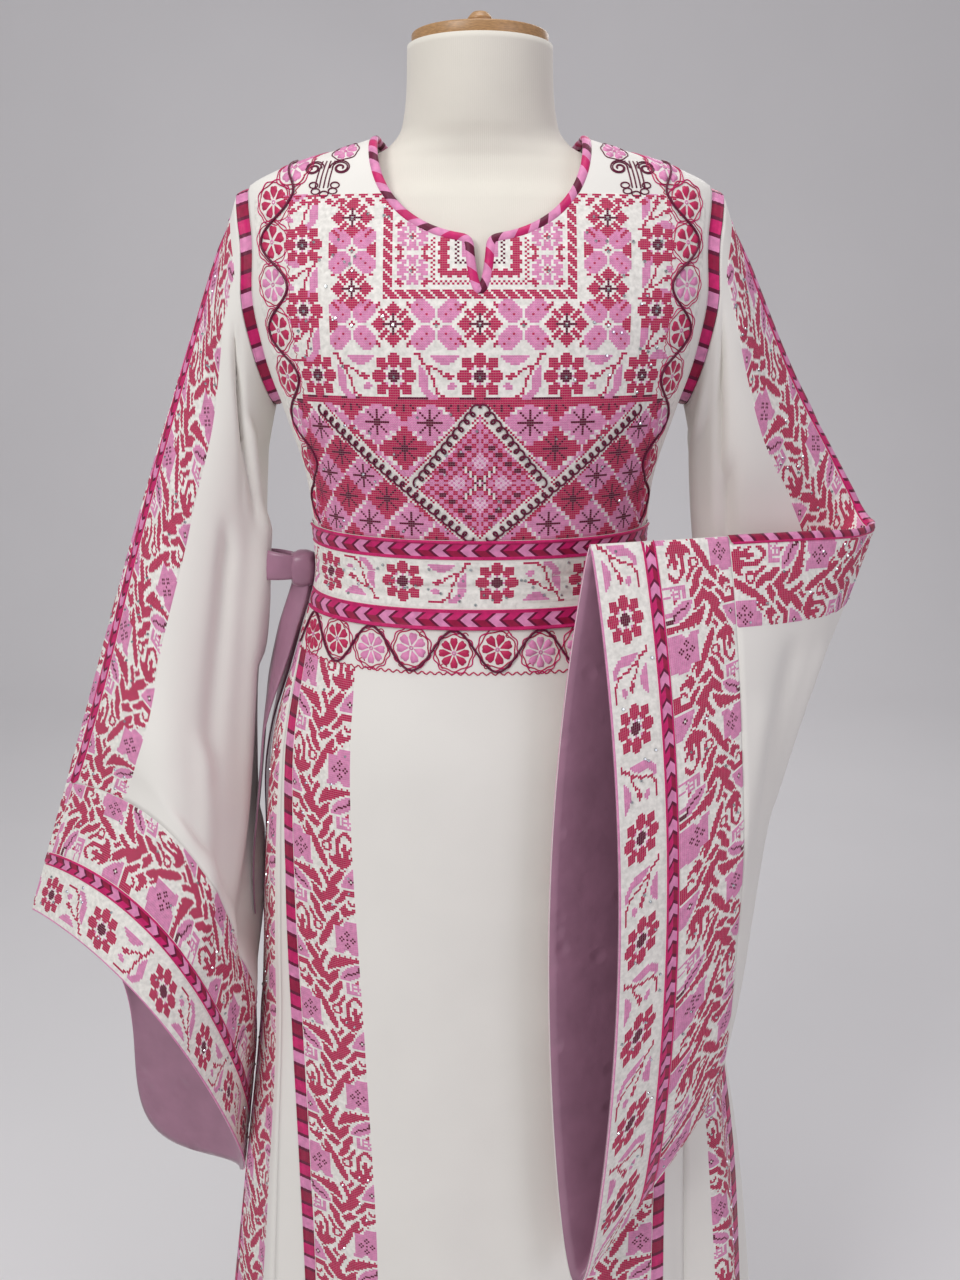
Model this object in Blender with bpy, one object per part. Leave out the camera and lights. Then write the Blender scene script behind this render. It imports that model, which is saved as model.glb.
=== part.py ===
"""A long embroidered thobe dress on a limbless dress form with a pole and a round base.

Front faces -Y, +Z is up, +X is the right-hand side seen from the front, and the origin is
the middle of the base's underside on the floor.  All sizes are in metres.
The cloth is a thin wall on three ring-built surfaces: the body and the two sleeves.  Every
trim is a skin made from the same rings, moved out.
"""
import math
from collections import namedtuple

import bmesh
import bpy
import numpy as np

# ---------------------------------------------------------------- driving dimensions
CLOTH = 0.0012            # wall of the crepe
GAP = 0.0003              # clearance between pieces that touch
TRIM = 0.0010             # wall of a sewn-on trim
BELT = 0.0022             # wall of the belt
HEM_Z = 0.030
SCALLOP_Z = 0.995         # lower edge of the scalloped hip band
BELT_LOW, BELT_LOW_IN = 1.030, 1.046
WAIST_Z = 1.066
BELT_TOP_IN, BELT_TOP = 1.088, 1.103
ARM_MID_Z, ARM_HALF_Z, ARM_HALF_Y = 1.290, 0.088, 0.050     # the armhole loop
SHOULDER_Z = 1.414        # where the shoulder seam reaches the neck
NECK_HALF, NECK_LOW_Z, SLIT_Z, SLIT_HALF = 0.080, 1.333, 1.294, 0.0045
NECK_BACK_Z = 1.398
BINDING = 0.0075          # width of the neck binding
STRIP = 0.066             # width of a scrollwork strip
BARS = 0.013              # width of a barred trim
CHEVRON = 0.012           # width of a chevron cord
ARM_TRIM = 0.011          # width of the barred trim at the armhole
ARM_INSET = 0.0034        # how far the sleeve's first ring stands inside the armhole's edge
CUFF_ROSE, CUFF_DEPTH = 0.046, 0.136     # rose band, and the whole cuff
FORM_CLEAR = 0.0050       # between the form and the cloth
FORM_LOW_Z = 0.800
NECK_TOP_Z, NECK_RADIUS = 1.480, 0.058
POLE_RADIUS = 0.0125
BASE_RADIUS, BASE_THICK = 0.165, 0.014
TIE = 0.034               # width of the satin tie

# ---------------------------------------------------------------- tables of sections
Body = namedtuple("Body", "z left right front back")
BODY = (
    Body(0.030, 0.285, 0.310, 0.185, 0.215),
    Body(0.250, 0.256, 0.286, 0.168, 0.196),
    Body(0.450, 0.231, 0.262, 0.156, 0.180),
    Body(0.650, 0.208, 0.226, 0.148, 0.166),
    Body(0.800, 0.200, 0.202, 0.142, 0.156),
    Body(0.900, 0.189, 0.189, 0.136, 0.146),
    Body(1.000, 0.160, 0.160, 0.118, 0.124),
    Body(1.066, 0.143, 0.143, 0.110, 0.108),
    Body(1.130, 0.147, 0.147, 0.118, 0.110),
    Body(1.200, 0.166, 0.166, 0.130, 0.116),
    Body(1.250, 0.184, 0.184, 0.127, 0.118),
    Body(1.300, 0.196, 0.196, 0.112, 0.113),
    Body(1.345, 0.196, 0.196, 0.090, 0.098),
    Body(1.372, 0.190, 0.190, 0.074, 0.082),
    Body(1.386, 0.166, 0.166, 0.066, 0.072),
    Body(1.396, 0.135, 0.135, 0.060, 0.065),
    Body(1.405, 0.104, 0.104, 0.054, 0.058),
    Body(1.414, 0.076, 0.076, 0.047, 0.050),
    Body(1.420, 0.060, 0.060, 0.042, 0.045),
)
SECTION_POWER = 2.25      # 2 is an ellipse; more is squarer

# how far round from the front middle the skirt's scrollwork strips begin
StripEdge = namedtuple("StripEdge", "z round")
STRIP_IN = (StripEdge(HEM_Z, 0.092), StripEdge(0.450, 0.094), StripEdge(0.650, 0.101),
            StripEdge(0.900, 0.110), StripEdge(WAIST_Z, 0.100))
# and where the side strips begin, past a plain gore that widens to the hem
SIDE_STRIP_IN = (StripEdge(HEM_Z, 0.271), StripEdge(0.450, 0.230), StripEdge(0.650, 0.214),
                 StripEdge(0.900, 0.201), StripEdge(WAIST_Z, 0.184))

TOP_ROUNDING = 0.85       # 1 leaves the top of a sleeve ring a sharp crease
LOW_ROUNDING = 0.30       # how much rounder its low side is

# each sleeve ring runs through four points: top (outer line), front, low (inner line), rear
Ring = namedtuple("Ring", "top front low rear droop turn")
NONE = (0.0, 0.0, 0.0)
LEFT_SLEEVE = (
    Ring((-0.217, 0.000, 1.326), (-0.204, -0.044, 1.244), (-0.186, 0.002, 1.162),
         (-0.204, 0.048, 1.240), NONE, 0.004),
    Ring((-0.243, -0.004, 1.257), (-0.216, -0.040, 1.174), (-0.192, 0.002, 1.085),
         (-0.220, 0.048, 1.168), NONE, 0.008),
    Ring((-0.277, -0.010, 1.163), (-0.238, -0.046, 1.078), (-0.200, 0.000, 0.975),
         (-0.246, 0.050, 1.060), NONE, 0.010),
    Ring((-0.322, -0.018, 1.032), (-0.258, -0.070, 0.950), (-0.208, -0.004, 0.832),
         (-0.282, 0.052, 0.900), NONE, 0.015),
    Ring((-0.357, -0.025, 0.925), (-0.258, -0.092, 0.868), (-0.222, 0.004, 0.690),
         (-0.302, 0.060, 0.770), (-0.020, 0.0, -0.015), 0.018),
)
LEFT_SEAM = Ring((-0.378, -0.030, 0.862), (-0.240, -0.100, 0.806), (-0.240, 0.024, 0.545),
                 (-0.309, 0.067, 0.700), (-0.040, 0.0, -0.030), 0.014)
LEFT_EDGE = Ring((-0.421, -0.034, 0.736), (-0.278, -0.120, 0.665), (-0.257, 0.030, 0.390),
                 (-0.338, 0.083, 0.563), (-0.075, 0.0, -0.055), 0.006)
RIGHT_SLEEVE = (
    Ring((0.224, 0.000, 1.316), (0.206, -0.044, 1.240), (0.186, 0.002, 1.162),
         (0.206, 0.048, 1.240), NONE, 0.004),
    Ring((0.266, 0.008, 1.234), (0.226, -0.036, 1.160), (0.194, 0.002, 1.075),
         (0.234, 0.052, 1.155), NONE, 0.004),
    Ring((0.312, 0.018, 1.158), (0.256, -0.018, 1.066), (0.204, 0.006, 0.970),
         (0.264, 0.050, 1.064), NONE, 0.000),
    Ring((0.338, 0.016, 1.114), (0.270, -0.006, 1.000), (0.228, 0.010, 0.890),
         (0.290, 0.040, 1.000), NONE, 0.000),
    Ring((0.344, -0.012, 1.100), (0.266, -0.006, 0.968), (0.237, -0.008, 0.838),
         (0.302, 0.000, 0.965), NONE, 0.000),
    Ring((0.322, -0.048, 1.100), (0.250, -0.026, 0.940), (0.242, -0.042, 0.775),
         (0.280, -0.062, 0.940), NONE, 0.000),
    Ring((0.256, -0.090, 1.104), (0.224, -0.062, 0.908), (0.236, -0.084, 0.712),
         (0.246, -0.112, 0.908), NONE, 0.000),
)
RIGHT_SEAM = Ring((0.196, -0.112, 1.105), (0.184, -0.106, 0.862), (0.212, -0.122, 0.620),
                  (0.212, -0.152, 0.862), NONE, 0.000)
RIGHT_EDGE = Ring((0.084, -0.142, 1.104), (0.056, -0.174, 0.783), (0.084, -0.190, 0.456),
                  (0.108, -0.212, 0.783), NONE, 0.000)

# form rings above the cloth's shoulder line
NeckRing = namedtuple("NeckRing", "z half front back")
FORM_NECK = (
    NeckRing(1.386, 0.128, 0.056, 0.060), NeckRing(1.396, 0.096, 0.053, 0.057),
    NeckRing(1.406, 0.074, 0.053, 0.057), NeckRing(1.420, 0.0635, 0.056, 0.058),
    NeckRing(1.450, 0.0590, 0.058, 0.058), NeckRing(NECK_TOP_Z, NECK_RADIUS, 0.058, 0.058),
)

SKIRT_ROWS = (HEM_Z, 0.230, 0.430, 0.600, 0.740, 0.850, 0.935, SCALLOP_Z,
              BELT_LOW, BELT_LOW_IN, WAIST_Z)
BODICE_ROWS = (WAIST_Z, BELT_TOP_IN, BELT_TOP, 1.132, 1.166)
SHOULDER_ROWS = (1.390, 1.403, 1.418)


# ---------------------------------------------------------------- small maths
def smooth(xs, ys, at):
    """Monotone cubic through (xs, ys): no overshoot between sections."""
    xs, ys = np.asarray(xs, float), np.asarray(ys, float)
    step = np.diff(xs)
    slope = np.diff(ys) / step
    tangent = np.zeros(len(xs))
    for k in range(1, len(xs) - 1):
        if slope[k - 1] * slope[k] > 0:
            w1 = 2 * step[k] + step[k - 1]
            w2 = step[k] + 2 * step[k - 1]
            tangent[k] = (w1 + w2) / (w1 / slope[k - 1] + w2 / slope[k])
    tangent[0], tangent[-1] = slope[0], slope[-1]
    k = int(np.clip(np.searchsorted(xs, at) - 1, 0, len(xs) - 2))
    t = (at - xs[k]) / step[k]
    return ((1 + 2 * t) * (1 - t) ** 2 * ys[k] + t * (1 - t) ** 2 * step[k] * tangent[k]
            + t * t * (3 - 2 * t) * ys[k + 1] - t * t * (1 - t) * step[k] * tangent[k + 1])


def body_size(z, name):
    return smooth([row.z for row in BODY], [getattr(row, name) for row in BODY], z)


def body_point(z, angle):
    """A point of the body surface: angle 0 is front middle, +90 degrees the right side."""
    sine, cosine = math.sin(angle), math.cos(angle)
    wide = body_size(z, "right" if sine > 0 else "left")
    deep = body_size(z, "front" if cosine > 0 else "back")
    return np.array((math.copysign(wide * abs(sine) ** (2 / SECTION_POWER), sine),
                     -math.copysign(deep * abs(cosine) ** (2 / SECTION_POWER), cosine), z))


def armhole_angle(z, back=False):
    """How far from the front (or back) middle the bodice reaches at a height."""
    rise = (z - ARM_MID_Z) / ARM_HALF_Z
    if abs(rise) >= 1:
        return math.pi / 2
    y = ARM_HALF_Y * math.sqrt(1 - rise * rise)
    deep = body_size(z, "back" if back else "front")
    return math.acos(min(1.0, (y / deep) ** (SECTION_POWER / 2)))


def spaced(points, at):
    """Points at given distances along a polyline."""
    points = np.asarray(points, float)
    run = np.concatenate(([0], np.cumsum(np.linalg.norm(np.diff(points, axis=0), axis=1))))
    return np.array([[np.interp(s, run, points[:, k]) for k in range(3)] for s in at])


def length(points):
    return float(np.sum(np.linalg.norm(np.diff(np.asarray(points), axis=0), axis=1)))


def normals(grid, around):
    """Outward normals of a grid of points; around says that the columns close into a ring."""
    grid = np.asarray(grid, float)
    if around:
        du = np.roll(grid, -1, axis=1) - np.roll(grid, 1, axis=1)
    else:
        du = np.gradient(grid, axis=1)
    dv = np.gradient(grid, axis=0)
    normal = np.cross(du, dv)
    size = np.linalg.norm(normal, axis=2, keepdims=True)
    return normal / np.maximum(size, 1e-12)


# ---------------------------------------------------------------- solids
def material(name, colour, roughness, metallic=0.0):
    made = bpy.data.materials.new(name)
    made.use_nodes = True
    shader = made.node_tree.nodes["Principled BSDF"]
    shader.inputs["Base Color"].default_value = (*colour, 1)
    shader.inputs["Roughness"].default_value = roughness
    shader.inputs["Metallic"].default_value = metallic
    return made


def solid(name, points, faces, stuff):
    mesh = bpy.data.meshes.new(name)
    mesh.from_pydata([tuple(p) for p in points], [], faces)
    made = bpy.data.objects.new(name, mesh)
    bpy.context.collection.objects.link(made)
    mesh.materials.append(stuff)
    shape = bmesh.new()
    shape.from_mesh(mesh)
    bmesh.ops.recalc_face_normals(shape, faces=shape.faces)
    bmesh.ops.triangulate(shape, faces=shape.faces)
    if shape.calc_volume(signed=True) < 0:
        bmesh.ops.reverse_faces(shape, faces=shape.faces)
    shape.to_mesh(mesh)
    shape.free()
    return made


def wall(name, grid, normal, inner, outer, around, stuff):
    """A closed wall between two offsets of a grid: an open patch, or a ring all round."""
    rows, cols = grid.shape[0], grid.shape[1]
    points = np.concatenate(((grid + normal * outer).reshape(-1, 3),
                             (grid + normal * inner).reshape(-1, 3)))
    under = rows * cols
    faces = []
    for r in range(rows - 1):
        for c in range(cols if around else cols - 1):
            a, b = r * cols + c, r * cols + (c + 1) % cols
            d, e = a + cols, b + cols
            faces.append((a, b, e, d))
            faces.append((under + a, under + d, under + e, under + b))
    for r in (0, rows - 1):
        for c in range(cols if around else cols - 1):
            a, b = r * cols + c, r * cols + (c + 1) % cols
            faces.append((a, under + a, under + b, b))
    if not around:
        for c in (0, cols - 1):
            for r in range(rows - 1):
                a, d = r * cols + c, (r + 1) * cols + c
                faces.append((a, d, under + d, under + a))
    return solid(name, points, faces, stuff)


def part_of(grid, rows=None, cols=None, seams=""):
    """A range of a grid, drawn back by half the gap on the sides named in seams."""
    patch = np.array(grid[rows[0]:rows[1] + 1] if rows else grid)
    if cols:
        patch = patch[:, cols[0]:cols[1] + 1]
    half = GAP / 2
    for side, edge, inward in (("low", patch[0], patch[1]), ("top", patch[-1], patch[-2])):
        if side in seams:
            step = inward - edge
            edge += half * step / np.maximum(np.linalg.norm(step, axis=1, keepdims=True), 1e-9)
    for side, k, j in (("first", 0, 1), ("last", -1, -2)):
        if side in seams:
            step = patch[:, j] - patch[:, k]
            patch[:, k] += half * step / np.maximum(
                np.linalg.norm(step, axis=1, keepdims=True), 1e-9)
    return patch


def prism(name, outline, near, far):
    """A cutter: an outline in x and z, drawn out along y."""
    count = len(outline)
    points = [(x, near, z) for x, z in outline] + [(x, far, z) for x, z in outline]
    faces = [tuple(range(count)), tuple(range(2 * count - 1, count - 1, -1))]
    faces += [(k, k + count, (k + 1) % count + count, (k + 1) % count) for k in range(count)]
    made = solid(name, points, faces, NO_FINISH)
    made.hide_render = True
    made.hide_viewport = False
    made.display_type = "WIRE"
    return made


def boolean(made, cutter, operation):
    step = made.modifiers.new(operation.title(), "BOOLEAN")
    step.object = cutter
    step.operation = operation
    step.solver = "EXACT"


# ---------------------------------------------------------------- the body grid
FRONT, BACK = 6, 9         # columns from the front or back middle to the side seam


def skirt_angles(z, side):
    """Column angles from front middle to back middle on one side (+1 right, -1 left).

    The side seam is column FRONT, in the middle of the gore between the two strips."""
    dense = np.linspace(0, math.pi, 241)
    line = np.array([body_point(z, side * angle) for angle in dense])
    run = np.concatenate(([0], np.cumsum(np.linalg.norm(np.diff(line, axis=0), axis=1))))
    strip_in, side_in = (smooth([row.z for row in table], [row.round for row in table], z)
                         for table in (STRIP_IN, SIDE_STRIP_IN))
    front_end, side_end = strip_in + STRIP + BARS, side_in + STRIP + BARS
    places = [0, strip_in / 2, strip_in, strip_in + STRIP / 2, strip_in + STRIP,
              front_end, (front_end + side_in) / 2,
              side_in, side_in + STRIP / 2, side_in + STRIP, side_end]
    places += list(np.linspace(side_end, run[-1], FRONT + BACK + 2 - len(places))[1:])
    return [float(np.interp(place, run, dense)) for place in places]


WAIST_ANGLES = {side: skirt_angles(WAIST_Z, side) for side in (1, -1)}


def bodice_angles(z, side):
    """The same columns, squeezed between the middles and the side seam or the armhole."""
    places = WAIST_ANGLES[side]
    seam = places[FRONT]
    under_arm = ARM_MID_Z - ARM_HALF_Z
    if z < under_arm:
        front_edge = seam + (math.pi / 2 - seam) * (z - WAIST_Z) / (under_arm - WAIST_Z)
        back_edge = math.pi - front_edge
    else:
        front_edge, back_edge = armhole_angle(z), armhole_angle(z, True)
    front = [place / seam * front_edge for place in places[:FRONT + 1]]
    back = [math.pi - (math.pi - place) / (math.pi - seam) * back_edge for place in places[FRONT:]]
    return front, back


def body_strip(rows, angles_of):
    return np.array([[body_point(z, angle) for angle in angles_of(z)] for z in rows])


def front_angles(z):
    angles = {side: (skirt_angles(z, side)[:FRONT + 1] if z <= WAIST_Z
                     else bodice_angles(z, side)[0]) for side in (1, -1)}
    return [-angle for angle in angles[-1][:0:-1]] + angles[1]


def back_angles(z):
    angles = {side: (skirt_angles(z, side)[FRONT:] if z <= WAIST_Z
                     else bodice_angles(z, side)[1]) for side in (1, -1)}
    return angles[1] + [-angle for angle in angles[-1][-2::-1]]


# ---------------------------------------------------------------- the sleeve grids
SLEEVE_COLUMNS = (CHEVRON / 2, CHEVRON / 2 + STRIP / 2, CHEVRON / 2 + STRIP)
REST_COLUMNS = 6            # evenly from the strip's edge to the inner line


def column_places(half_round):
    rest = np.linspace(SLEEVE_COLUMNS[-1], half_round, REST_COLUMNS + 1)[1:]
    return [0.0, *SLEEVE_COLUMNS, *rest]


def arm_loop_dense(side):
    line = []
    for angle in np.linspace(0, 2 * math.pi, 241):
        y = -ARM_HALF_Y * math.sin(angle)
        z = ARM_MID_Z + ARM_HALF_Z * math.cos(angle)
        deep = body_size(z, "front" if y <= 0 else "back")
        wide = body_size(z, "right")
        flat = max(0.0, 1 - (abs(y) / deep) ** SECTION_POWER) ** (1 / SECTION_POWER)
        line.append((side * wide * flat, y, z))
    return np.array(line)


def ring_dense(ring):
    """A flat loop through the ring's four points: creased on top, rounder at the low side."""
    top, low = np.array(ring.top), np.array(ring.low)
    middle = (top + low) / 2
    line = []
    for angle in np.linspace(0, 2 * math.pi, 241):
        down = (1 - math.cos(angle)) / 2
        out = np.array(ring.front if math.sin(angle) >= 0 else ring.rear) - middle
        swell = math.sin(math.pi * down) ** (TOP_ROUNDING - LOW_ROUNDING * down)
        point = top + (low - top) * down + out * swell
        if math.sin(angle) < 0:
            point += np.array(ring.droop) * math.sin(math.pi * down ** 2.5)
        line.append(point)
    return np.array(line)


def ring_columns(dense, turn):
    """Columns round a ring from its top line: front side first, then back up the rear."""
    total = length(dense)
    places = column_places(total / 2)
    around = places + [total - place for place in places[-2:0:-1]]
    return spaced(np.concatenate((dense, dense[1:])), [(turn + place) % total if turn >= 0
                                                       else turn + place for place in around])


def blended(rings, at):
    """A ring between the table's rings, at a fractional row number."""
    rows = range(len(rings))
    values = []
    for field in ("top", "front", "low", "rear", "droop"):
        values.append(tuple(smooth(rows, [getattr(ring, field)[k] for ring in rings], at)
                            for k in range(3)))
    return Ring(*values, smooth(rows, [ring.turn for ring in rings], at))


def sleeve_grid(side, upper, seam, edge):
    """Rows from the armhole to the cuff's edge; columns all round, from the top line."""
    loop = ring_columns(arm_loop_dense(side), 0)
    loop[:, 1] *= 1 - ARM_INSET / ARM_HALF_Y
    loop[:, 2] = ARM_MID_Z + (loop[:, 2] - ARM_MID_Z) * (1 - ARM_INSET / ARM_HALF_Z)
    rows = [loop]
    first = ring_columns(ring_dense(upper[0]), upper[0].turn)
    step = first - loop
    step /= np.linalg.norm(step, axis=1, keepdims=True)
    step = step * 0.3 + np.array((side * 0.7, 0, 0))
    rows.append(loop + ARM_TRIM * step / np.linalg.norm(step, axis=1, keepdims=True))
    rows += [ring_columns(ring_dense(ring), ring.turn) for ring in upper]
    cuff = [seam, edge]
    inner = 1 - CUFF_ROSE / CUFF_DEPTH
    for at in (0, (inner - CHEVRON / CUFF_DEPTH) / 2, inner - CHEVRON / CUFF_DEPTH, inner, 1):
        ring = blended(cuff, at)
        rows.append(ring_columns(ring_dense(ring), ring.turn))
    return np.array(rows)


# ---------------------------------------------------------------- pieces
def arc(centre, radius, start, stop, count):
    return [(centre[0] + radius[0] * math.cos(a), centre[1] + radius[1] * math.sin(a))
            for a in np.linspace(start, stop, count)]


def neck_outline(grow, slit=True):
    """The neck opening in x and z: a deep round with a short slit, open at the top."""
    high = 1.45
    low = NECK_LOW_Z - grow
    half = NECK_HALF + grow
    rise = SHOULDER_Z - low
    width = SLIT_HALF + grow
    last = math.asin((width + 0.006) / half)
    round_low = [(half * math.sin(a), SHOULDER_Z - rise * math.cos(a) ** 0.8)
                 for a in np.linspace(math.pi / 2, last, 8)]
    right = [(half, high)] + round_low
    if slit:
        right += [(width, low), (width * 0.45, SLIT_Z - grow + 0.004), (0, SLIT_Z - grow)]
    left = [(-x, z) for x, z in right[::-1]]
    return right + (left[1:] if slit else left)


def back_neck_outline(grow):
    low = NECK_BACK_Z - grow
    half = NECK_HALF + grow
    right = [(half, 1.45)] + arc((0, SHOULDER_Z), (half, SHOULDER_Z - low), 0, -math.pi / 2, 7)
    return right + [(-x, z) for x, z in right[-2::-1]]


def make_bodice(rows):
    for name, angles_of, outline, near, far in (
            ("front", front_angles, neck_outline, -0.30, 0.0),
            ("back", back_angles, back_neck_outline, 0.0, 0.30)):
        grid = body_strip(rows, angles_of)
        patch = part_of(grid, seams="low first last")
        normal = normals(patch, False)
        panel = wall("bodice_" + name, patch, normal, 0, CLOTH, False, CREPE)
        boolean(panel, prism(name + "_cut", outline(BINDING + GAP), near, far), "DIFFERENCE")
        binding = wall("neck_binding_" + name, patch, normal, 0, CLOTH, False, STITCHED)
        boolean(binding, prism(name + "_ring", outline(BINDING), near, far), "INTERSECT")
        boolean(binding, prism(name + "_hole", outline(0), near, far), "DIFFERENCE")


def make_skirt():
    front = body_strip(SKIRT_ROWS, front_angles)
    back = body_strip(SKIRT_ROWS, back_angles)
    for name, grid in (("front", front), ("back", back)):
        patch = part_of(grid, seams="top first last")
        wall("skirt_" + name, patch, normals(patch, False), 0, CLOTH, False, CREPE)
    band_top, belt_row = SKIRT_ROWS.index(SCALLOP_Z), SKIRT_ROWS.index(BELT_LOW)
    inner, outer = CLOTH + GAP, CLOTH + GAP + TRIM
    # columns counted from the front or back middle; the two bands of a pair share one edge
    for name, grid, middle, top_row, columns in (
            ("front", front, FRONT, band_top, (("strip", 2, 4), ("bars", 4, 5))),
            ("back", back, BACK, belt_row, (("bars", 5, 6), ("strip", 6, 8)))):
        normal = normals(part_of(grid, seams="first last"), False)
        for side, sign in (("left", -1), ("right", 1)):
            if name == "back":
                sign = -sign
            for k, (label, a, b) in enumerate(columns):
                pair = sorted((middle + sign * a, middle + sign * b))
                seams = "top first" if (k == 1) == (sign > 0) else "top last"
                patch = part_of(grid, (0, top_row), pair, seams)
                direction = normal[:top_row + 1, pair[0]:pair[1] + 1]
                wall(f"{name}_{label}_{side}", patch, direction, inner, outer, False, STITCHED)
    rows = (band_top, belt_row)
    patch = part_of(front, rows, None, "low top first last")
    direction = normals(front, False)[rows[0]:rows[1] + 1]
    wall("hip_band", patch, direction, inner, outer, False, STITCHED)


def make_belt():
    rows = (BELT_LOW, BELT_LOW_IN, WAIST_Z, BELT_TOP_IN, BELT_TOP)
    inner = CLOTH + 2 * GAP
    front = body_strip(rows, front_angles)
    normal = normals(front, False)
    for name, low, top, seams in (("belt_chevron_low", 0, 1, "top"),
                                  ("belt_roses", 1, 3, "low top"),
                                  ("belt_chevron_top", 3, 4, "low")):
        patch = part_of(front, (low, top), None, seams + " first last")
        wall(name, patch, normal[low:top + 1], inner, inner + BELT, False, STITCHED)
    back = body_strip(rows, back_angles)
    patch = part_of(back, (0, 4), None, "first last")
    wall("belt_back", patch, normals(back, False), inner, inner + BELT, False, SATIN)


def ribbon(name, route, width_way, stuff, width=TIE, thick=0.0012):
    """A flat strip along a route; width_way is the direction across it."""
    route = np.asarray(route, float)
    along = np.gradient(route, axis=0)
    across = np.tile(np.asarray(width_way, float), (len(route), 1))
    grid = np.stack((route - across * width / 2, route, route + across * width / 2), axis=1)
    face = np.cross(across, along)
    face /= np.linalg.norm(face, axis=1, keepdims=True)
    normal = np.repeat(face[:, None, :], 3, axis=1)
    wall(name, grid, normal, -thick / 2, thick / 2, False, stuff)


def make_tie():
    """The satin tie at the left side: a knot, one loop and two tails."""
    knot_x, knot_z = -0.163, 1.074
    bpy.ops.mesh.primitive_cube_add(size=1, location=(0, 0, 0))
    knot = bpy.context.object
    knot.name = "tie_knot"
    for corner in knot.data.vertices:
        corner.co = (knot_x + corner.co.x * 0.016, 0.006 + corner.co.y * 0.026,
                     knot_z + corner.co.z * 0.026)
    rounding = knot.modifiers.new("Bevel", "BEVEL")
    rounding.width, rounding.segments = 0.006, 2
    knot.data.materials.append(SATIN)
    loop = [(-0.1725 - 0.009 * (1 - math.cos(a)), 0.006 - 0.004 * a,
             knot_z - 0.004 + 0.015 * math.sin(a) - 0.004 * (1 - math.cos(a)))
            for a in np.linspace(0.10, 2 * math.pi - 0.10, 15)]
    ribbon("tie_loop", loop, (0, 1, 0), SATIN, width=0.026)
    for name, low, angle in (("tie_tail_long", 0.440, -1.72), ("tie_tail_short", 0.730, -1.44)):
        rows = np.linspace(knot_z - 0.018, low, 12)
        route = []
        for k, z in enumerate(rows):
            point = body_point(z, angle)
            away = point * np.array((1, 1, 0)) / np.linalg.norm(point[:2])
            route.append(point + away * (0.0075 + 0.0015 * math.sin(k * 1.1)))
        tangent = np.array((-math.cos(angle) * 0.3, 1.0, 0.0))
        ribbon(name, route, tangent / np.linalg.norm(tangent), SATIN)


def make_sleeve(name, side, upper, seam, edge):
    grid = sleeve_grid(side, upper, seam, edge)
    normal = normals(grid, True)
    if side < 0:
        normal = -normal
    last = len(grid) - 1
    seam_row = last - 4
    trim = part_of(grid, (0, 1), None, "low top")
    wall("armhole_trim_" + name, trim, normal[0:2], 0, CLOTH + TRIM, True, STITCHED)
    upper_part = part_of(grid, (1, seam_row), None, "low top")
    wall("sleeve_" + name, upper_part, normal[1:seam_row + 1], 0, CLOTH, True, CREPE)
    cuff_part = part_of(grid, (seam_row, last), None, "low")
    wall("cuff_" + name, cuff_part, normal[seam_row:], 0, CLOTH, True, CREPE)
    inner, outer = CLOTH + GAP, CLOTH + GAP + TRIM
    turned = np.roll(grid, 3, axis=1)
    turned_normal = np.roll(normal, 3, axis=1)
    for label, a, b, seams in (("rear", 0, 2, "last"), ("chevron", 2, 4, "first last"),
                               ("front", 4, 6, "first")):
        patch = part_of(turned, (1, seam_row), (a, b), "low top " + seams)
        direction = turned_normal[1:seam_row + 1, a:b + 1]
        wall(f"sleeve_band_{label}_{name}", patch, direction, inner, outer, False, STITCHED)
    for label, a, b in (("vine", seam_row, last - 2), ("chevron", last - 2, last - 1),
                        ("roses", last - 1, last)):
        patch = part_of(grid, (a, b), None, "low top")
        wall(f"cuff_{label}_{name}", patch, normal[a:b + 1], inner, outer, True, STITCHED)
    patch = part_of(grid, (seam_row, last))
    wall("cuff_lining_" + name, patch, normal[seam_row:], -GAP - TRIM, -GAP, True, SATIN)


def make_form():
    """The padded form, from the hips to the neck, closed at both ends."""
    columns = 28
    angles = np.linspace(0, 2 * math.pi, columns, endpoint=False)
    heights = (0.800, 0.860, 0.920, 0.980, 1.020, 1.066, 1.130, 1.200, 1.250, 1.300, 1.345, 1.372)
    cloth = np.array([[body_point(z, a if a <= math.pi else a - 2 * math.pi) for a in angles]
                      for z in heights])
    rings = list(cloth - normals(cloth, True) * FORM_CLEAR)
    rings[0][:, 2] = FORM_LOW_Z
    rings[-1][:, 2] = 1.372 - FORM_CLEAR
    for row in FORM_NECK:
        rings.append(np.array([(row.half * math.sin(a),
                                -(row.front if math.cos(a) > 0 else row.back) * math.cos(a),
                                row.z) for a in angles]))
    points = np.concatenate(rings)
    faces = [(r * columns + c, r * columns + (c + 1) % columns,
              (r + 1) * columns + (c + 1) % columns, (r + 1) * columns + c)
             for r in range(len(rings) - 1) for c in range(columns)]
    faces.append(tuple(range(columns)))
    faces.append(tuple(range(len(points) - columns, len(points))))
    solid("form_torso", points, faces, JERSEY)


def turned_piece(name, profile, count, stuff):
    """A solid turned about the z axis from (radius, height) points, bottom to top."""
    points, faces = [], []
    for radius, z in profile:
        points += [(radius * math.cos(2 * math.pi * k / count),
                    radius * math.sin(2 * math.pi * k / count), z) for k in range(count)]
    for r in range(len(profile) - 1):
        for c in range(count):
            a, b = r * count + c, r * count + (c + 1) % count
            faces.append((a, b, b + count, a + count))
    faces.append(tuple(range(count)))
    faces.append(tuple(range(len(points) - count, len(points))))
    solid(name, points, faces, stuff)


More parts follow.
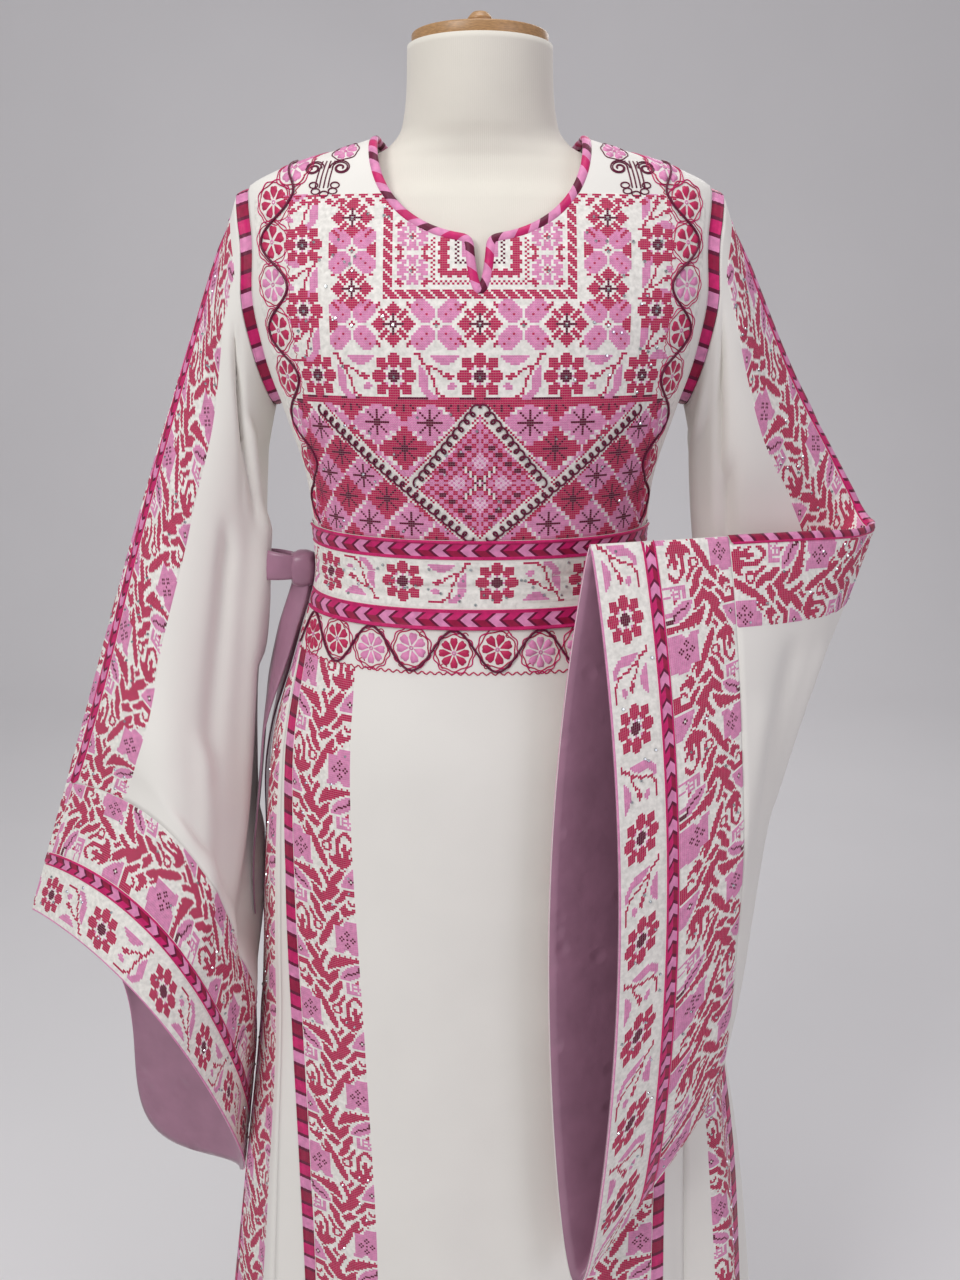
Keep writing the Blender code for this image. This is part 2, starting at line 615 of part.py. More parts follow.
def make_stand():
    turned_piece("form_neck_cap", ((0.052, NECK_TOP_Z + GAP), (0.055, NECK_TOP_Z + 0.004),
                                   (0.055, NECK_TOP_Z + 0.009), (0.030, NECK_TOP_Z + 0.013),
                                   (0.010, NECK_TOP_Z + 0.020), (0.006, NECK_TOP_Z + 0.026)),
                 20, WOOD)
    turned_piece("form_pole", ((POLE_RADIUS, BASE_THICK + GAP), (POLE_RADIUS, FORM_LOW_Z - GAP)),
                 16, METAL)
    turned_piece("form_base", ((BASE_RADIUS - 0.002, 0), (BASE_RADIUS, 0.002),
                               (BASE_RADIUS, BASE_THICK - 0.004),
                               (BASE_RADIUS - 0.004, BASE_THICK)), 32, METAL)


for old in list(bpy.data.objects):
    bpy.data.objects.remove(old)
CREPE = material("ivory_crepe", (0.79, 0.76, 0.70), 0.75)
STITCHED = material("stitched_pink", (0.58, 0.05, 0.13), 0.55)
SATIN = material("mauve_satin", (0.48, 0.26, 0.35), 0.35)
JERSEY = material("cream_jersey", (0.76, 0.72, 0.64), 0.85)
METAL = material("black_steel", (0.02, 0.02, 0.02), 0.40, 1.0)
WOOD = material("beech", (0.55, 0.36, 0.20), 0.45)
NO_FINISH = material("cutter", (0.5, 0.5, 0.5), 0.5)

LOOP_ROWS = sorted({round(float(point[2]), 6)
                    for point in ring_columns(arm_loop_dense(1), 0)[:len(column_places(1))]})
make_bodice((*BODICE_ROWS, *LOOP_ROWS, *SHOULDER_ROWS))
make_skirt()
make_belt()
make_tie()
make_sleeve("left", -1, LEFT_SLEEVE, LEFT_SEAM, LEFT_EDGE)
make_sleeve("right", 1, RIGHT_SLEEVE, RIGHT_SEAM, RIGHT_EDGE)
make_form()
make_stand()
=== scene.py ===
"""The looks of a long embroidered thobe on a limbless dress form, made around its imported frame.

Front faces -Y, +Z is up and +X is the right-hand side seen from the front, all in metres.
The body and the two sleeves are dense tables of points.  Cloth, stitches, cords, petals and
stones all read their places from these tables, so they lie on each other as they are sewn.
"""

import math
from collections import namedtuple

import bpy
import numpy as np
from bpy.props import FloatProperty, FloatVectorProperty, PointerProperty
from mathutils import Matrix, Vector


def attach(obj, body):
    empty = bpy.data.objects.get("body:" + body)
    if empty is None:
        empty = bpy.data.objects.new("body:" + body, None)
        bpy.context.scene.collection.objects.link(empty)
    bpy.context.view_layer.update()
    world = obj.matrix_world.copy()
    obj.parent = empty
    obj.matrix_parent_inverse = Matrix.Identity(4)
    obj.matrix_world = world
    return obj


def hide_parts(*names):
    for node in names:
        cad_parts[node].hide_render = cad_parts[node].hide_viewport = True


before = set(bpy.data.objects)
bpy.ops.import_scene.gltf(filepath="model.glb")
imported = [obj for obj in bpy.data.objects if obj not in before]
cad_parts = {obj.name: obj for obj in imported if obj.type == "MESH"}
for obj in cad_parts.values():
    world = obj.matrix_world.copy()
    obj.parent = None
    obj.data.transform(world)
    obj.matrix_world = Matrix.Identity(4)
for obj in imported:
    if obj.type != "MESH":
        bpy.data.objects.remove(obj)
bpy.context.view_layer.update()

bl_info = {
    "name": "Embroidered thobe on a dress form",
    "version": (1, 0, 0),
    "blender": (4, 5, 0),
    "location": "3D View > Sidebar > Thobe",
    "description": "Crepe, cross-stitch, satin trims and stones around the frame of a thobe",
    "category": "Object",
}

# ---------------------------------------------------------------- sizes shared with the frame
CLOTH, GAP, TRIM, BELT = 0.0012, 0.0003, 0.0010, 0.0022
HEM_Z = 0.030
SCALLOP_Z = 0.995
BELT_LOW, BELT_LOW_IN = 1.030, 1.046
WAIST_Z = 1.066
BELT_TOP_IN, BELT_TOP = 1.088, 1.103
ARM_MID_Z, ARM_HALF_Z, ARM_HALF_Y = 1.290, 0.088, 0.050
SHOULDER_Z = 1.414
NECK_HALF, NECK_LOW_Z, SLIT_Z, SLIT_HALF = 0.080, 1.333, 1.294, 0.0045
NECK_BACK_Z = 1.398
BINDING = 0.0075
STRIP, BARS, CHEVRON, ARM_TRIM = 0.066, 0.013, 0.012, 0.011
ARM_INSET = 0.0034
CUFF_ROSE, CUFF_DEPTH = 0.046, 0.136
FORM_CLEAR, FORM_LOW_Z = 0.0050, 0.800
NECK_TOP_Z, NECK_RADIUS = 1.480, 0.058
POLE_RADIUS, BASE_RADIUS, BASE_THICK = 0.0125, 0.165, 0.014
TIE = 0.034
STITCH = 0.0018           # one cross-stitch
THREAD_HIGH = 0.00035     # how far stitches stand up

Body = namedtuple("Body", "z left right front back")
BODY = (
    Body(0.030, 0.285, 0.310, 0.185, 0.215),
    Body(0.250, 0.256, 0.286, 0.168, 0.196),
    Body(0.450, 0.231, 0.262, 0.156, 0.180),
    Body(0.650, 0.208, 0.226, 0.148, 0.166),
    Body(0.800, 0.200, 0.202, 0.142, 0.156),
    Body(0.900, 0.189, 0.189, 0.136, 0.146),
    Body(1.000, 0.160, 0.160, 0.118, 0.124),
    Body(1.066, 0.143, 0.143, 0.110, 0.108),
    Body(1.130, 0.147, 0.147, 0.118, 0.110),
    Body(1.200, 0.166, 0.166, 0.130, 0.116),
    Body(1.250, 0.184, 0.184, 0.127, 0.118),
    Body(1.300, 0.196, 0.196, 0.112, 0.113),
    Body(1.345, 0.196, 0.196, 0.090, 0.098),
    Body(1.372, 0.190, 0.190, 0.074, 0.082),
    Body(1.386, 0.166, 0.166, 0.066, 0.072),
    Body(1.396, 0.135, 0.135, 0.060, 0.065),
    Body(1.405, 0.104, 0.104, 0.054, 0.058),
    Body(1.414, 0.076, 0.076, 0.047, 0.050),
    Body(1.420, 0.060, 0.060, 0.042, 0.045),
)
SECTION_POWER = 2.25
STRIP_IN_Z = (HEM_Z, 0.450, 0.650, 0.900, WAIST_Z)
STRIP_IN_ROUND = (0.092, 0.094, 0.101, 0.110, 0.100)
SIDE_IN_ROUND = (0.271, 0.230, 0.214, 0.201, 0.184)
TOP_ROUNDING, LOW_ROUNDING = 0.85, 0.30

Ring = namedtuple("Ring", "top front low rear droop turn")
NONE = (0.0, 0.0, 0.0)
LEFT_RINGS = (
    Ring((-0.217, 0.000, 1.326), (-0.204, -0.044, 1.244), (-0.186, 0.002, 1.162),
         (-0.204, 0.048, 1.240), NONE, 0.004),
    Ring((-0.243, -0.004, 1.257), (-0.216, -0.040, 1.174), (-0.192, 0.002, 1.085),
         (-0.220, 0.048, 1.168), NONE, 0.008),
    Ring((-0.277, -0.010, 1.163), (-0.238, -0.046, 1.078), (-0.200, 0.000, 0.975),
         (-0.246, 0.050, 1.060), NONE, 0.010),
    Ring((-0.322, -0.018, 1.032), (-0.258, -0.070, 0.950), (-0.208, -0.004, 0.832),
         (-0.282, 0.052, 0.900), NONE, 0.015),
    Ring((-0.357, -0.025, 0.925), (-0.258, -0.092, 0.868), (-0.222, 0.004, 0.690),
         (-0.302, 0.060, 0.770), (-0.020, 0.0, -0.015), 0.018),
    Ring((-0.378, -0.030, 0.862), (-0.240, -0.100, 0.806), (-0.240, 0.024, 0.545),
         (-0.309, 0.067, 0.700), (-0.040, 0.0, -0.030), 0.014),
    Ring((-0.421, -0.034, 0.736), (-0.278, -0.120, 0.665), (-0.257, 0.030, 0.390),
         (-0.338, 0.083, 0.563), (-0.075, 0.0, -0.055), 0.006),
)
RIGHT_RINGS = (
    Ring((0.224, 0.000, 1.316), (0.206, -0.044, 1.240), (0.186, 0.002, 1.162),
         (0.206, 0.048, 1.240), NONE, 0.004),
    Ring((0.266, 0.008, 1.234), (0.226, -0.036, 1.160), (0.194, 0.002, 1.075),
         (0.234, 0.052, 1.155), NONE, 0.004),
    Ring((0.312, 0.018, 1.158), (0.256, -0.018, 1.066), (0.204, 0.006, 0.970),
         (0.264, 0.050, 1.064), NONE, 0.000),
    Ring((0.338, 0.016, 1.114), (0.270, -0.006, 1.000), (0.228, 0.010, 0.890),
         (0.290, 0.040, 1.000), NONE, 0.000),
    Ring((0.344, -0.012, 1.100), (0.266, -0.006, 0.968), (0.237, -0.008, 0.838),
         (0.302, 0.000, 0.965), NONE, 0.000),
    Ring((0.322, -0.048, 1.100), (0.250, -0.026, 0.940), (0.242, -0.042, 0.775),
         (0.280, -0.062, 0.940), NONE, 0.000),
    Ring((0.256, -0.090, 1.104), (0.224, -0.062, 0.908), (0.236, -0.084, 0.712),
         (0.246, -0.112, 0.908), NONE, 0.000),
    Ring((0.196, -0.112, 1.105), (0.184, -0.106, 0.862), (0.212, -0.122, 0.620),
         (0.212, -0.152, 0.862), NONE, 0.000),
    Ring((0.084, -0.142, 1.104), (0.056, -0.174, 0.783), (0.084, -0.190, 0.456),
         (0.108, -0.212, 0.783), NONE, 0.000),
)

# ---------------------------------------------------------------- creases, listed one by one
# x is the way round and y the way along, in metres; depth is inward, and a ridge is negative
Crease = namedtuple("Crease", "x0 y0 x1 y1 depth width")
SKIRT_CREASES = (                                     # x from the front middle, y is height
    Crease(0.010, 0.03, 0.004, 0.52, 0.0050, 0.030), Crease(0.052, 0.03, 0.034, 0.70, -0.0045, 0.024),
    Crease(-0.046, 0.03, -0.030, 0.61, -0.0040, 0.026), Crease(0.200, 0.03, 0.150, 0.55, -0.008, 0.020),
    Crease(0.236, 0.03, 0.176, 0.72, 0.009, 0.018), Crease(0.292, 0.03, 0.205, 0.83, -0.010, 0.024),
    Crease(0.350, 0.03, 0.255, 0.66, 0.011, 0.026), Crease(0.418, 0.03, 0.300, 0.78, -0.008, 0.024),
    Crease(0.488, 0.03, 0.352, 0.60, 0.010, 0.028), Crease(0.570, 0.03, 0.405, 0.72, -0.008, 0.026),
    Crease(0.640, 0.03, 0.450, 0.50, 0.008, 0.024), Crease(0.730, 0.03, 0.500, 0.68, -0.006, 0.028),
    Crease(-0.196, 0.03, -0.158, 0.50, 0.006, 0.018), Crease(-0.236, 0.03, -0.180, 0.80, -0.009, 0.020),
    Crease(-0.290, 0.03, -0.214, 0.71, 0.010, 0.024), Crease(-0.356, 0.03, -0.262, 0.80, -0.009, 0.024),
    Crease(-0.430, 0.03, -0.316, 0.58, 0.010, 0.028), Crease(-0.506, 0.03, -0.372, 0.74, -0.009, 0.026),
    Crease(-0.585, 0.03, -0.425, 0.55, 0.008, 0.026), Crease(-0.668, 0.03, -0.470, 0.70, -0.007, 0.026),
)
BODICE_CREASES = (
    Crease(0.170, 1.150, 0.120, 1.118, 0.0020, 0.007), Crease(-0.172, 1.146, -0.126, 1.116, 0.0018, 0.007),
    Crease(0.185, 1.180, 0.150, 1.160, 0.0016, 0.008), Crease(-0.330, 1.130, -0.250, 1.112, 0.0022, 0.008),
    Crease(0.340, 1.128, 0.262, 1.114, 0.0024, 0.008), Crease(0.300, 1.180, 0.235, 1.150, 0.0020, 0.010),
    Crease(-0.290, 1.190, -0.235, 1.150, 0.0022, 0.010),
)
LEFT_CREASES = (                                      # x round from the outer line, y down the arm
    Crease(0.105, 0.05, 0.215, 0.20, 0.0070, 0.010), Crease(0.118, 0.02, 0.140, 0.16, 0.0040, 0.009),
    Crease(0.150, 0.08, 0.235, 0.27, -0.0060, 0.011), Crease(0.178, 0.14, 0.240, 0.50, -0.0080, 0.016),
    Crease(0.130, 0.20, 0.172, 0.50, 0.0070, 0.015), Crease(0.215, 0.26, 0.290, 0.62, 0.0090, 0.016),
    Crease(0.150, 0.40, 0.205, 0.64, -0.0060, 0.016), Crease(0.285, 0.40, 0.360, 0.64, -0.0070, 0.018),
    Crease(-0.120, 0.04, -0.160, 0.30, 0.0060, 0.014), Crease(-0.165, 0.16, -0.215, 0.52, -0.0070, 0.018),
    Crease(-0.110, 0.30, -0.160, 0.60, 0.0060, 0.018), Crease(-0.240, 0.30, -0.290, 0.62, 0.0070, 0.020),
)
RIGHT_CREASES = (
    Crease(0.110, 0.03, 0.150, 0.20, 0.0065, 0.010), Crease(0.165, 0.02, 0.200, 0.26, -0.0070, 0.013),
    Crease(0.130, 0.16, 0.190, 0.30, 0.0065, 0.014), Crease(-0.105, 0.04, -0.140, 0.24, 0.0045, 0.012),
    Crease(-0.170, 0.08, -0.190, 0.30, -0.0050, 0.014), Crease(-0.095, 0.33, -0.200, 0.38, 0.0050, 0.010),
    Crease(-0.110, 0.40, -0.240, 0.44, -0.0045, 0.014), Crease(-0.105, 0.455, -0.290, 0.500, 0.0055, 0.014),
    Crease(-0.190, 0.35, -0.330, 0.52, 0.0045, 0.013), Crease(-0.150, 0.50, -0.340, 0.545, -0.0035, 0.016),
)


def creased(x, y, creases):
    """How far outward the listed creases move a point; each fades out towards its top end."""
    out = np.zeros(np.shape(x))
    for row in creases:
        along = np.array((row.x1 - row.x0, row.y1 - row.y0))
        share = ((x - row.x0) * along[0] + (y - row.y0) * along[1]) / (along @ along)
        inside = np.clip(share, 0, 1)
        away = np.hypot(x - row.x0 - inside * along[0], y - row.y0 - inside * along[1])
        fade = np.sin(np.pi * np.clip(0.5 * inside + 0.5, 0, 1)) ** 0.8
        out -= row.depth * fade * np.exp(-(away / row.width) ** 2)
    return out


# ---------------------------------------------------------------- surfaces
def slopes(xs, ys):
    step, rise = np.diff(xs), np.diff(ys) / np.diff(xs)
    tangent = np.zeros(len(xs))
    for k in range(1, len(xs) - 1):
        if rise[k - 1] * rise[k] > 0:
            w1, w2 = 2 * step[k] + step[k - 1], step[k] + 2 * step[k - 1]
            tangent[k] = (w1 + w2) / (w1 / rise[k - 1] + w2 / rise[k])
    tangent[0], tangent[-1] = rise[0], rise[-1]
    return tangent


def smooth(xs, ys, at):
    """Monotone cubic through (xs, ys), read at any number of places."""
    xs, ys, at = (np.asarray(value, float) for value in (xs, ys, at))
    tangent = slopes(xs, ys)
    k = np.clip(np.searchsorted(xs, at) - 1, 0, len(xs) - 2)
    step = xs[k + 1] - xs[k]
    t = (at - xs[k]) / step
    return ((1 + 2 * t) * (1 - t) ** 2 * ys[k] + t * (1 - t) ** 2 * step * tangent[k]
            + t * t * (3 - 2 * t) * ys[k + 1] - t * t * (1 - t) * step * tangent[k + 1])


def body_size(z, name):
    return smooth([row.z for row in BODY], [getattr(row, name) for row in BODY], z)


def running(points):
    """Distance from the first point, along a polyline."""
    steps = np.linalg.norm(np.diff(points, axis=0), axis=1)
    return np.concatenate(([0.0], np.cumsum(steps)))


def spaced(points, at):
    run = running(points)
    return np.stack([np.interp(at, run, points[:, k]) for k in range(3)], axis=-1)


def unit(vectors):
    """The same directions, each one metre long."""
    return vectors / np.maximum(np.linalg.norm(vectors, axis=-1, keepdims=True), 1e-12)


class Surface:
    """A dense table of points whose columns close into a ring, read anywhere between them."""

    def __init__(self, points, outward):
        self.points = points
        around = np.roll(points, -1, axis=1) - np.roll(points, 1, axis=1)
        self.normals = unit(np.cross(around, np.gradient(points, axis=0)) * outward)

    def at(self, row, column, lift=0.0):
        rows, columns = self.points.shape[:2]
        row, column, lift = np.broadcast_arrays(np.asarray(row, float), column, lift)
        row = np.clip(row, 0, rows - 1.000001)
        column = np.mod(column, columns)
        r, c = np.floor(row).astype(int), np.floor(column).astype(int) % columns
        t, u = (row - r)[..., None], (column - np.floor(column))[..., None]
        beside = (c + 1) % columns

        def read(table):
            return ((table[r, c] * (1 - u) + table[r, beside] * u) * (1 - t)
                    + (table[r + 1, c] * (1 - u) + table[r + 1, beside] * u) * t)

        return read(self.points) + unit(read(self.normals)) * lift[..., None]


HALF_COLUMNS = 220        # of the body's table, from the front middle to the back middle
FRONT_HALF = HALF_COLUMNS // 2


def section(z, turn):
    """A point of the smooth body: turn 0 is front middle, +90 degrees the right side."""
    z, turn = np.broadcast_arrays(np.asarray(z, float), turn)
    sine, cosine = np.sin(turn), np.cos(turn)
    wide = np.where(sine > 0, body_size(z, "right"), body_size(z, "left"))
    deep = np.where(cosine > 0, body_size(z, "front"), body_size(z, "back"))
    power = 2 / SECTION_POWER
    return np.stack((np.sign(sine) * wide * np.abs(sine) ** power,
                     -np.sign(cosine) * deep * np.abs(cosine) ** power,
                     z), axis=-1)


def body_heights():
    """Heights for the table's rows: 5 mm apart along the steepest of the front and the side."""
    z = np.linspace(HEM_Z - 0.001, 1.420, 2000)
    run = running(np.stack((body_size(z, "left"), body_size(z, "front"), z), axis=1))
    return np.interp(np.linspace(0, run[-1], 330), run, z)


BODY_Z = body_heights()


def make_body():
    """The body's table, and each row's distance from front middle to side and on to the back."""
    turns = np.linspace(0, np.pi, 361)
    rows, fronts, backs = [], [], []
    for z in BODY_Z:
        halves, quarters, rests = [], [], []
        for side in (-1, 1):
            line = section(z, side * turns)
            run = running(line)
            quarter = run[180]
            front = np.linspace(0, quarter, FRONT_HALF + 1)
            back = np.linspace(quarter, run[-1], FRONT_HALF + 1)[1:]
            halves.append(spaced(line, np.concatenate((front, back))))
            quarters.append(quarter)
            rests.append(run[-1] - quarter)
        rows.append(np.concatenate((halves[0][:0:-1], halves[1][:-1])))
        fronts.append(quarters)
        backs.append(rests)
    return np.array(rows), np.array(fronts).T, np.array(backs).T


BODY_POINTS, FRONT_RUN, BACK_RUN = make_body()


def body_place(s, z):
    """Row and column of the body's table: s is the way round from the front middle."""
    s, z = np.broadcast_arrays(np.asarray(s, float), z)
    front, back = (np.where(s < 0, np.interp(z, BODY_Z, left), np.interp(z, BODY_Z, right))
                   for left, right in (FRONT_RUN, BACK_RUN))
    way = np.abs(s)
    share = np.where(way <= front, way / front, 1 + (way - front) / back)
    row = np.interp(z, BODY_Z, np.arange(len(BODY_Z)))
    return row, HALF_COLUMNS + np.sign(s) * share * FRONT_HALF


def crease_body():
    """The table with its creases: each point moves along its own normal."""
    columns = np.arange(2 * HALF_COLUMNS) - HALF_COLUMNS
    share = np.abs(columns)[None, :] / FRONT_HALF
    side = (columns > 0).astype(int)
    front, back = FRONT_RUN[side].T, BACK_RUN[side].T
    way = np.where(share <= 1, share * front, front + (share - 1) * back) * np.sign(columns)
    height = np.broadcast_to(BODY_Z[:, None], way.shape)
    out = creased(way, height, SKIRT_CREASES + BODICE_CREASES)
    smooth_body = Surface(BODY_POINTS, 1)
    return Surface(BODY_POINTS + smooth_body.normals * out[..., None], 1)


BODY_SURFACE = crease_body()


def on_body(s, z, lift=0.0):
    return BODY_SURFACE.at(*body_place(s, z), lift)


def front_run(z, side):
    return np.interp(z, BODY_Z, FRONT_RUN[(side + 1) // 2])


def whole_run(z, side):
    return front_run(z, side) + np.interp(z, BODY_Z, BACK_RUN[(side + 1) // 2])


def armhole_run(z, side, back=False):
    """How far round from the front (or back) middle the bodice reaches at a height."""
    rise = np.clip(np.abs(z - ARM_MID_Z) / ARM_HALF_Z, 0, 1)
    y = ARM_HALF_Y * np.sqrt(1 - rise * rise)
    deep = body_size(z, "back" if back else "front")
    turn = np.arccos(np.minimum(1.0, (y / deep) ** (SECTION_POWER / 2)))
    turns = np.linspace(0, np.pi / 2, 181)
    out = []
    for height, stop in zip(np.atleast_1d(z), np.atleast_1d(turn)):
        line = section(height, side * (np.pi - turns if back else turns))
        out.append(np.interp(stop, turns, running(line)))
    return np.array(out)


SLEEVE_COLUMNS = 320
RING_ROWS = 26            # table rows from one ring to the next
Sleeve = namedtuple("Sleeve", "surface rows around")


def loop_line(side):
    """The armhole's edge, from its top over the front, on the smooth body."""
    turn = np.linspace(0, 2 * np.pi, 241)
    y, z = -ARM_HALF_Y * np.sin(turn), ARM_MID_Z + ARM_HALF_Z * np.cos(turn)
    deep = np.where(y <= 0, body_size(z, "front"), body_size(z, "back"))
    flat = np.maximum(0, 1 - (np.abs(y) / deep) ** SECTION_POWER) ** (1 / SECTION_POWER)
    return np.stack((side * body_size(z, "right") * flat, y, z), axis=1)


def ring_line(ring):
    """A flat loop through a ring's four points: creased on top, rounder at its low side."""
    turn = np.linspace(0, 2 * np.pi, 241)
    top, low = np.array(ring.top), np.array(ring.low)
    down = ((1 - np.cos(turn)) / 2)[:, None]
    ahead = (np.sin(turn) >= 0)[:, None]
    out = np.where(ahead, np.array(ring.front), np.array(ring.rear)) - (top + low) / 2
    swell = np.sin(np.pi * down) ** (TOP_ROUNDING - LOW_ROUNDING * down)
    sag = np.where(ahead, 0.0, np.sin(np.pi * down ** 2.5)) * np.array(ring.droop)
    return top + (low - top) * down + out * swell + sag


def even(line, turn):
    """Columns evenly round a loop, starting a little way round it; and the loop's length."""
    run = running(line)
    starts = (turn + np.arange(SLEEVE_COLUMNS) / SLEEVE_COLUMNS * run[-1]) % run[-1]
    return spaced(line, starts), run[-1]


def blended(rings, at):
    places = np.arange(len(rings))
    values = [tuple(smooth(places, [getattr(ring, field)[k] for ring in rings], at) for k in range(3))
              for field in ("top", "front", "low", "rear", "droop")]
    return Ring(*values, smooth(places, [ring.turn for ring in rings], at))


def make_sleeve(side, rings, creases):
    """Rows are keyed -2 at the armhole, -1 past its trim, then 0 on for the rings."""
    loop, loop_length = even(loop_line(side), 0)
    loop[:, 1] *= 1 - ARM_INSET / ARM_HALF_Y
    loop[:, 2] = ARM_MID_Z + (loop[:, 2] - ARM_MID_Z) * (1 - ARM_INSET / ARM_HALF_Z)
    first, first_length = even(ring_line(rings[0]), rings[0].turn)
    trim = loop + ARM_TRIM * unit(unit(first - loop) * 0.3 + np.array((side * 0.7, 0, 0)))
    rows = [(share - 2, loop + (trim - loop) * share, loop_length)
            for share in np.linspace(0, 1, 5)[:-1]]
    rows += [(share - 1, trim + (first - trim) * share,
              loop_length + (first_length - loop_length) * share)
             for share in np.linspace(0, 1, 13)[:-1]]
    for at in np.linspace(0, len(rings) - 1, (len(rings) - 1) * RING_ROWS + 1):
        ring = blended(rings, at)
        rows.append((at, *even(ring_line(ring), ring.turn)))
    keys, points, lengths = (np.array(part) for part in zip(*rows))
    plain = Surface(points, side)
    down = running(points[:, 0])[:, None]
    share = np.arange(SLEEVE_COLUMNS) / SLEEVE_COLUMNS
    way = np.where(share > 0.5, share - 1, share) * lengths[:, None]
    out = creased(way, np.broadcast_to(down, way.shape), creases)
    calm = np.clip((down - 0.02) / 0.04, 0, 1)
    surface = Surface(points + plain.normals * (out * calm)[..., None], side)
    return Sleeve(surface, keys, lengths)


SLEEVES = {"left": make_sleeve(-1, LEFT_RINGS, LEFT_CREASES),
           "right": make_sleeve(1, RIGHT_RINGS, RIGHT_CREASES)}
SEAM = {"left": len(LEFT_RINGS) - 2, "right": len(RIGHT_RINGS) - 2}
BAND_START = -0.70        # row key at which the scrollwork begins under the shoulder


def on_sleeve(side, around, key, lift=0.0):
    """around is the way from the outer line: over the front if positive, over the rear if not."""
    sleeve = SLEEVES[side]
    row = np.interp(key, sleeve.rows, np.arange(len(sleeve.rows)))
    length = np.interp(row, np.arange(len(sleeve.around)), sleeve.around)
    return sleeve.surface.at(row, around / length * SLEEVE_COLUMNS, lift)


def ring_length(side, key):
    sleeve = SLEEVES[side]
    return np.interp(key, sleeve.rows, sleeve.around)


def sleeve_keys(side, around, start, stop, step):
    """Row keys a given step apart along one line of a sleeve, and that line's length."""
    dense = np.linspace(start, stop, 400)
    run = running(on_sleeve(side, np.full(400, around), dense))
    count = max(1, round(run[-1] / step))
    return np.interp(np.linspace(0, run[-1], count + 1), run, dense), run[-1]


# ---------------------------------------------------------------- stitch charts
BARE, CRIMSON, PINK, BURGUNDY, FUCHSIA, DEEP, PALE = range(7)
MISSING = -1
LETTERS = {".": BARE, "r": CRIMSON, "p": PINK, "b": BURGUNDY}

# half a repeat of the scrollwork; the other half is its mirror image
VINE = """
....rr..rr...rrrr...rrrr.ppppppppppppp
.r..rr..rr..rr..rr..rrrr.ppppppppppppp
.rr.rrr.rr..rr...r.rrrrr.ppppppbpppppp
..rrrrr.rr..rr..rr.rrrr..pppppbpbppppp
..rrrr..rr...rrrr.rrrrr..ppppppbpppppp
...rrr.rrr.......rrrrr...pppbpppppbppp
.r.rrr.rrrr..r...rrrrr...ppbpbpbpbpbpp
.rrrrrrrrrrrrr..rrrrr....pppbpppppbppp
..rrrrrrrrrrrr..rrrr.....ppppppbpppppp
..rrrrrrrrrrr..rrrrr.....pppppbpbppppp
...rrrrrrrrr...rrrr......ppppppbpppppp
p...rrrrrr.....rrr.......ppppppppppppp
pp....rr.....r.rr.......pppppp..pppppp
ppp..r..r...rr..........ppppp....ppppp
pppp..rrrr..rrr...r...................
ppppp.rrrrr..rrr.rrr......r..r..r..r.r
pppppp.rrrrr..r.rrrr...rr.rrrrrrrrrrrr
ppbppp.rrrrrr...rrr...rrrrrrrrrrrrrrrr
pb.bppp.rrrrrr.rrr...rrrrrrrrrrrrr....
ppbpppp..rrrrr.rrr...rrrrrrrrrr...pppb
pppppppp..rrrrrrr...rrrrrrrrr...ppppbb
pppppppp...rrrrrr...rrrrrrr...ppppppb.
..........rrrrrr...rrrrr.....ppppppbbp
rrrrrrr..rrrrrrr...rrr..rr..pppppbbppp
rrrrrrrr.rrrrrrrr..r..rrr..pppbbbpppp.
rrrrrrrrr.rrrrrrr....rrrr..ppbpppppp..
r.....rrr..rrrrrrrr.rrrrr.ppbppppp....
r.....rrrr..rrrrrrrrrrrrr.pppppp...r..
r...r..rrrr..rrrrrrrrrrr..........rr..
rr.rr...rrrr..rrrrrrrrr..rr..pp.pppp..
.rrr..r...rr.....rrrrr..rrr..pp.p..p.p
......rr......rr..rrr..rrrr..pp.ppppp.
.rr..rrrr..rrrrrr..r..rrrrr..pp.p..p..
.rrrrrrrrr..rrrrrrr..rrrrr...pppppp.p.
..rrrrrrr....rrrrrrr.rrrr....ppppppppp
....rrrrr.rr...rrrr..rrrr.............
......rr..rrr....r...rrrr..r....rrr...
.....r....rrrr......rrrr..rr...rrrrr..
........r.rrrrr....rrrrr.rrr..rr..rrr.
.pppppp.rr.rrrr....rrrr..rr..rr....rr.
pppppppp.rrrrrrr..rrrr..rr..rrr.....r.
pppppppp..rrrrrrr.rrr..rrr..rrr.......
"""
# quarters of flowers, from the middle outwards
ROSE = """
bbbprrrrrr
bbb.rrrrrr
bb...rrrr.
p..prr....
rr.rrrrr..
rrrrrrrr..
rrr.rrrr..
rrr.rrrr..
rrr.......
rr........
"""
STAR = """
.bbbbrrrrr
bb..rrrrr.
b..r.rrr..
b.rrr.r...
br.rrr....
rrr.rrr...
rrrr.r..rr
rrr....rr.
rr....rr..
r.....r...
"""
SMALL_STAR = """
rr.ppp..
r.ppppp.
.p..ppp.
pp.pp...
pp.pppr.
ppp..rrr
.pp.rrr.
.....r..
"""
# a spray of leaves on a stem, between two roses
SPRAY = """
rrrrrrr..pppp......
......rr.ppppp.....
........rr.pppp....
.........r..pppp...
..ppp....r...ppp...
.pppp.....r..pppp..
..pp......r..pppp..
..........r..pppp..
...rr.....rr.pppp..
..rrrrr....r.pppp..
....rr.r....r.ppp..
.......rr...r.ppp..
.........rr.rr.pp..
...........rrr..p..
....pppp......rr...
..pppppppp.....r...
.pppppppppp....rr..
pppppppppppp....r..
................rrr
"""


def charted(text):
    return np.array([[LETTERS[letter] for letter in line] for line in text.split()])


def mirrored(text):
    """A whole flower from its quarter."""
    quarter = charted(text)
    half = np.concatenate((quarter[:, :0:-1], quarter), axis=1)
    return np.concatenate((half[:0:-1], half))


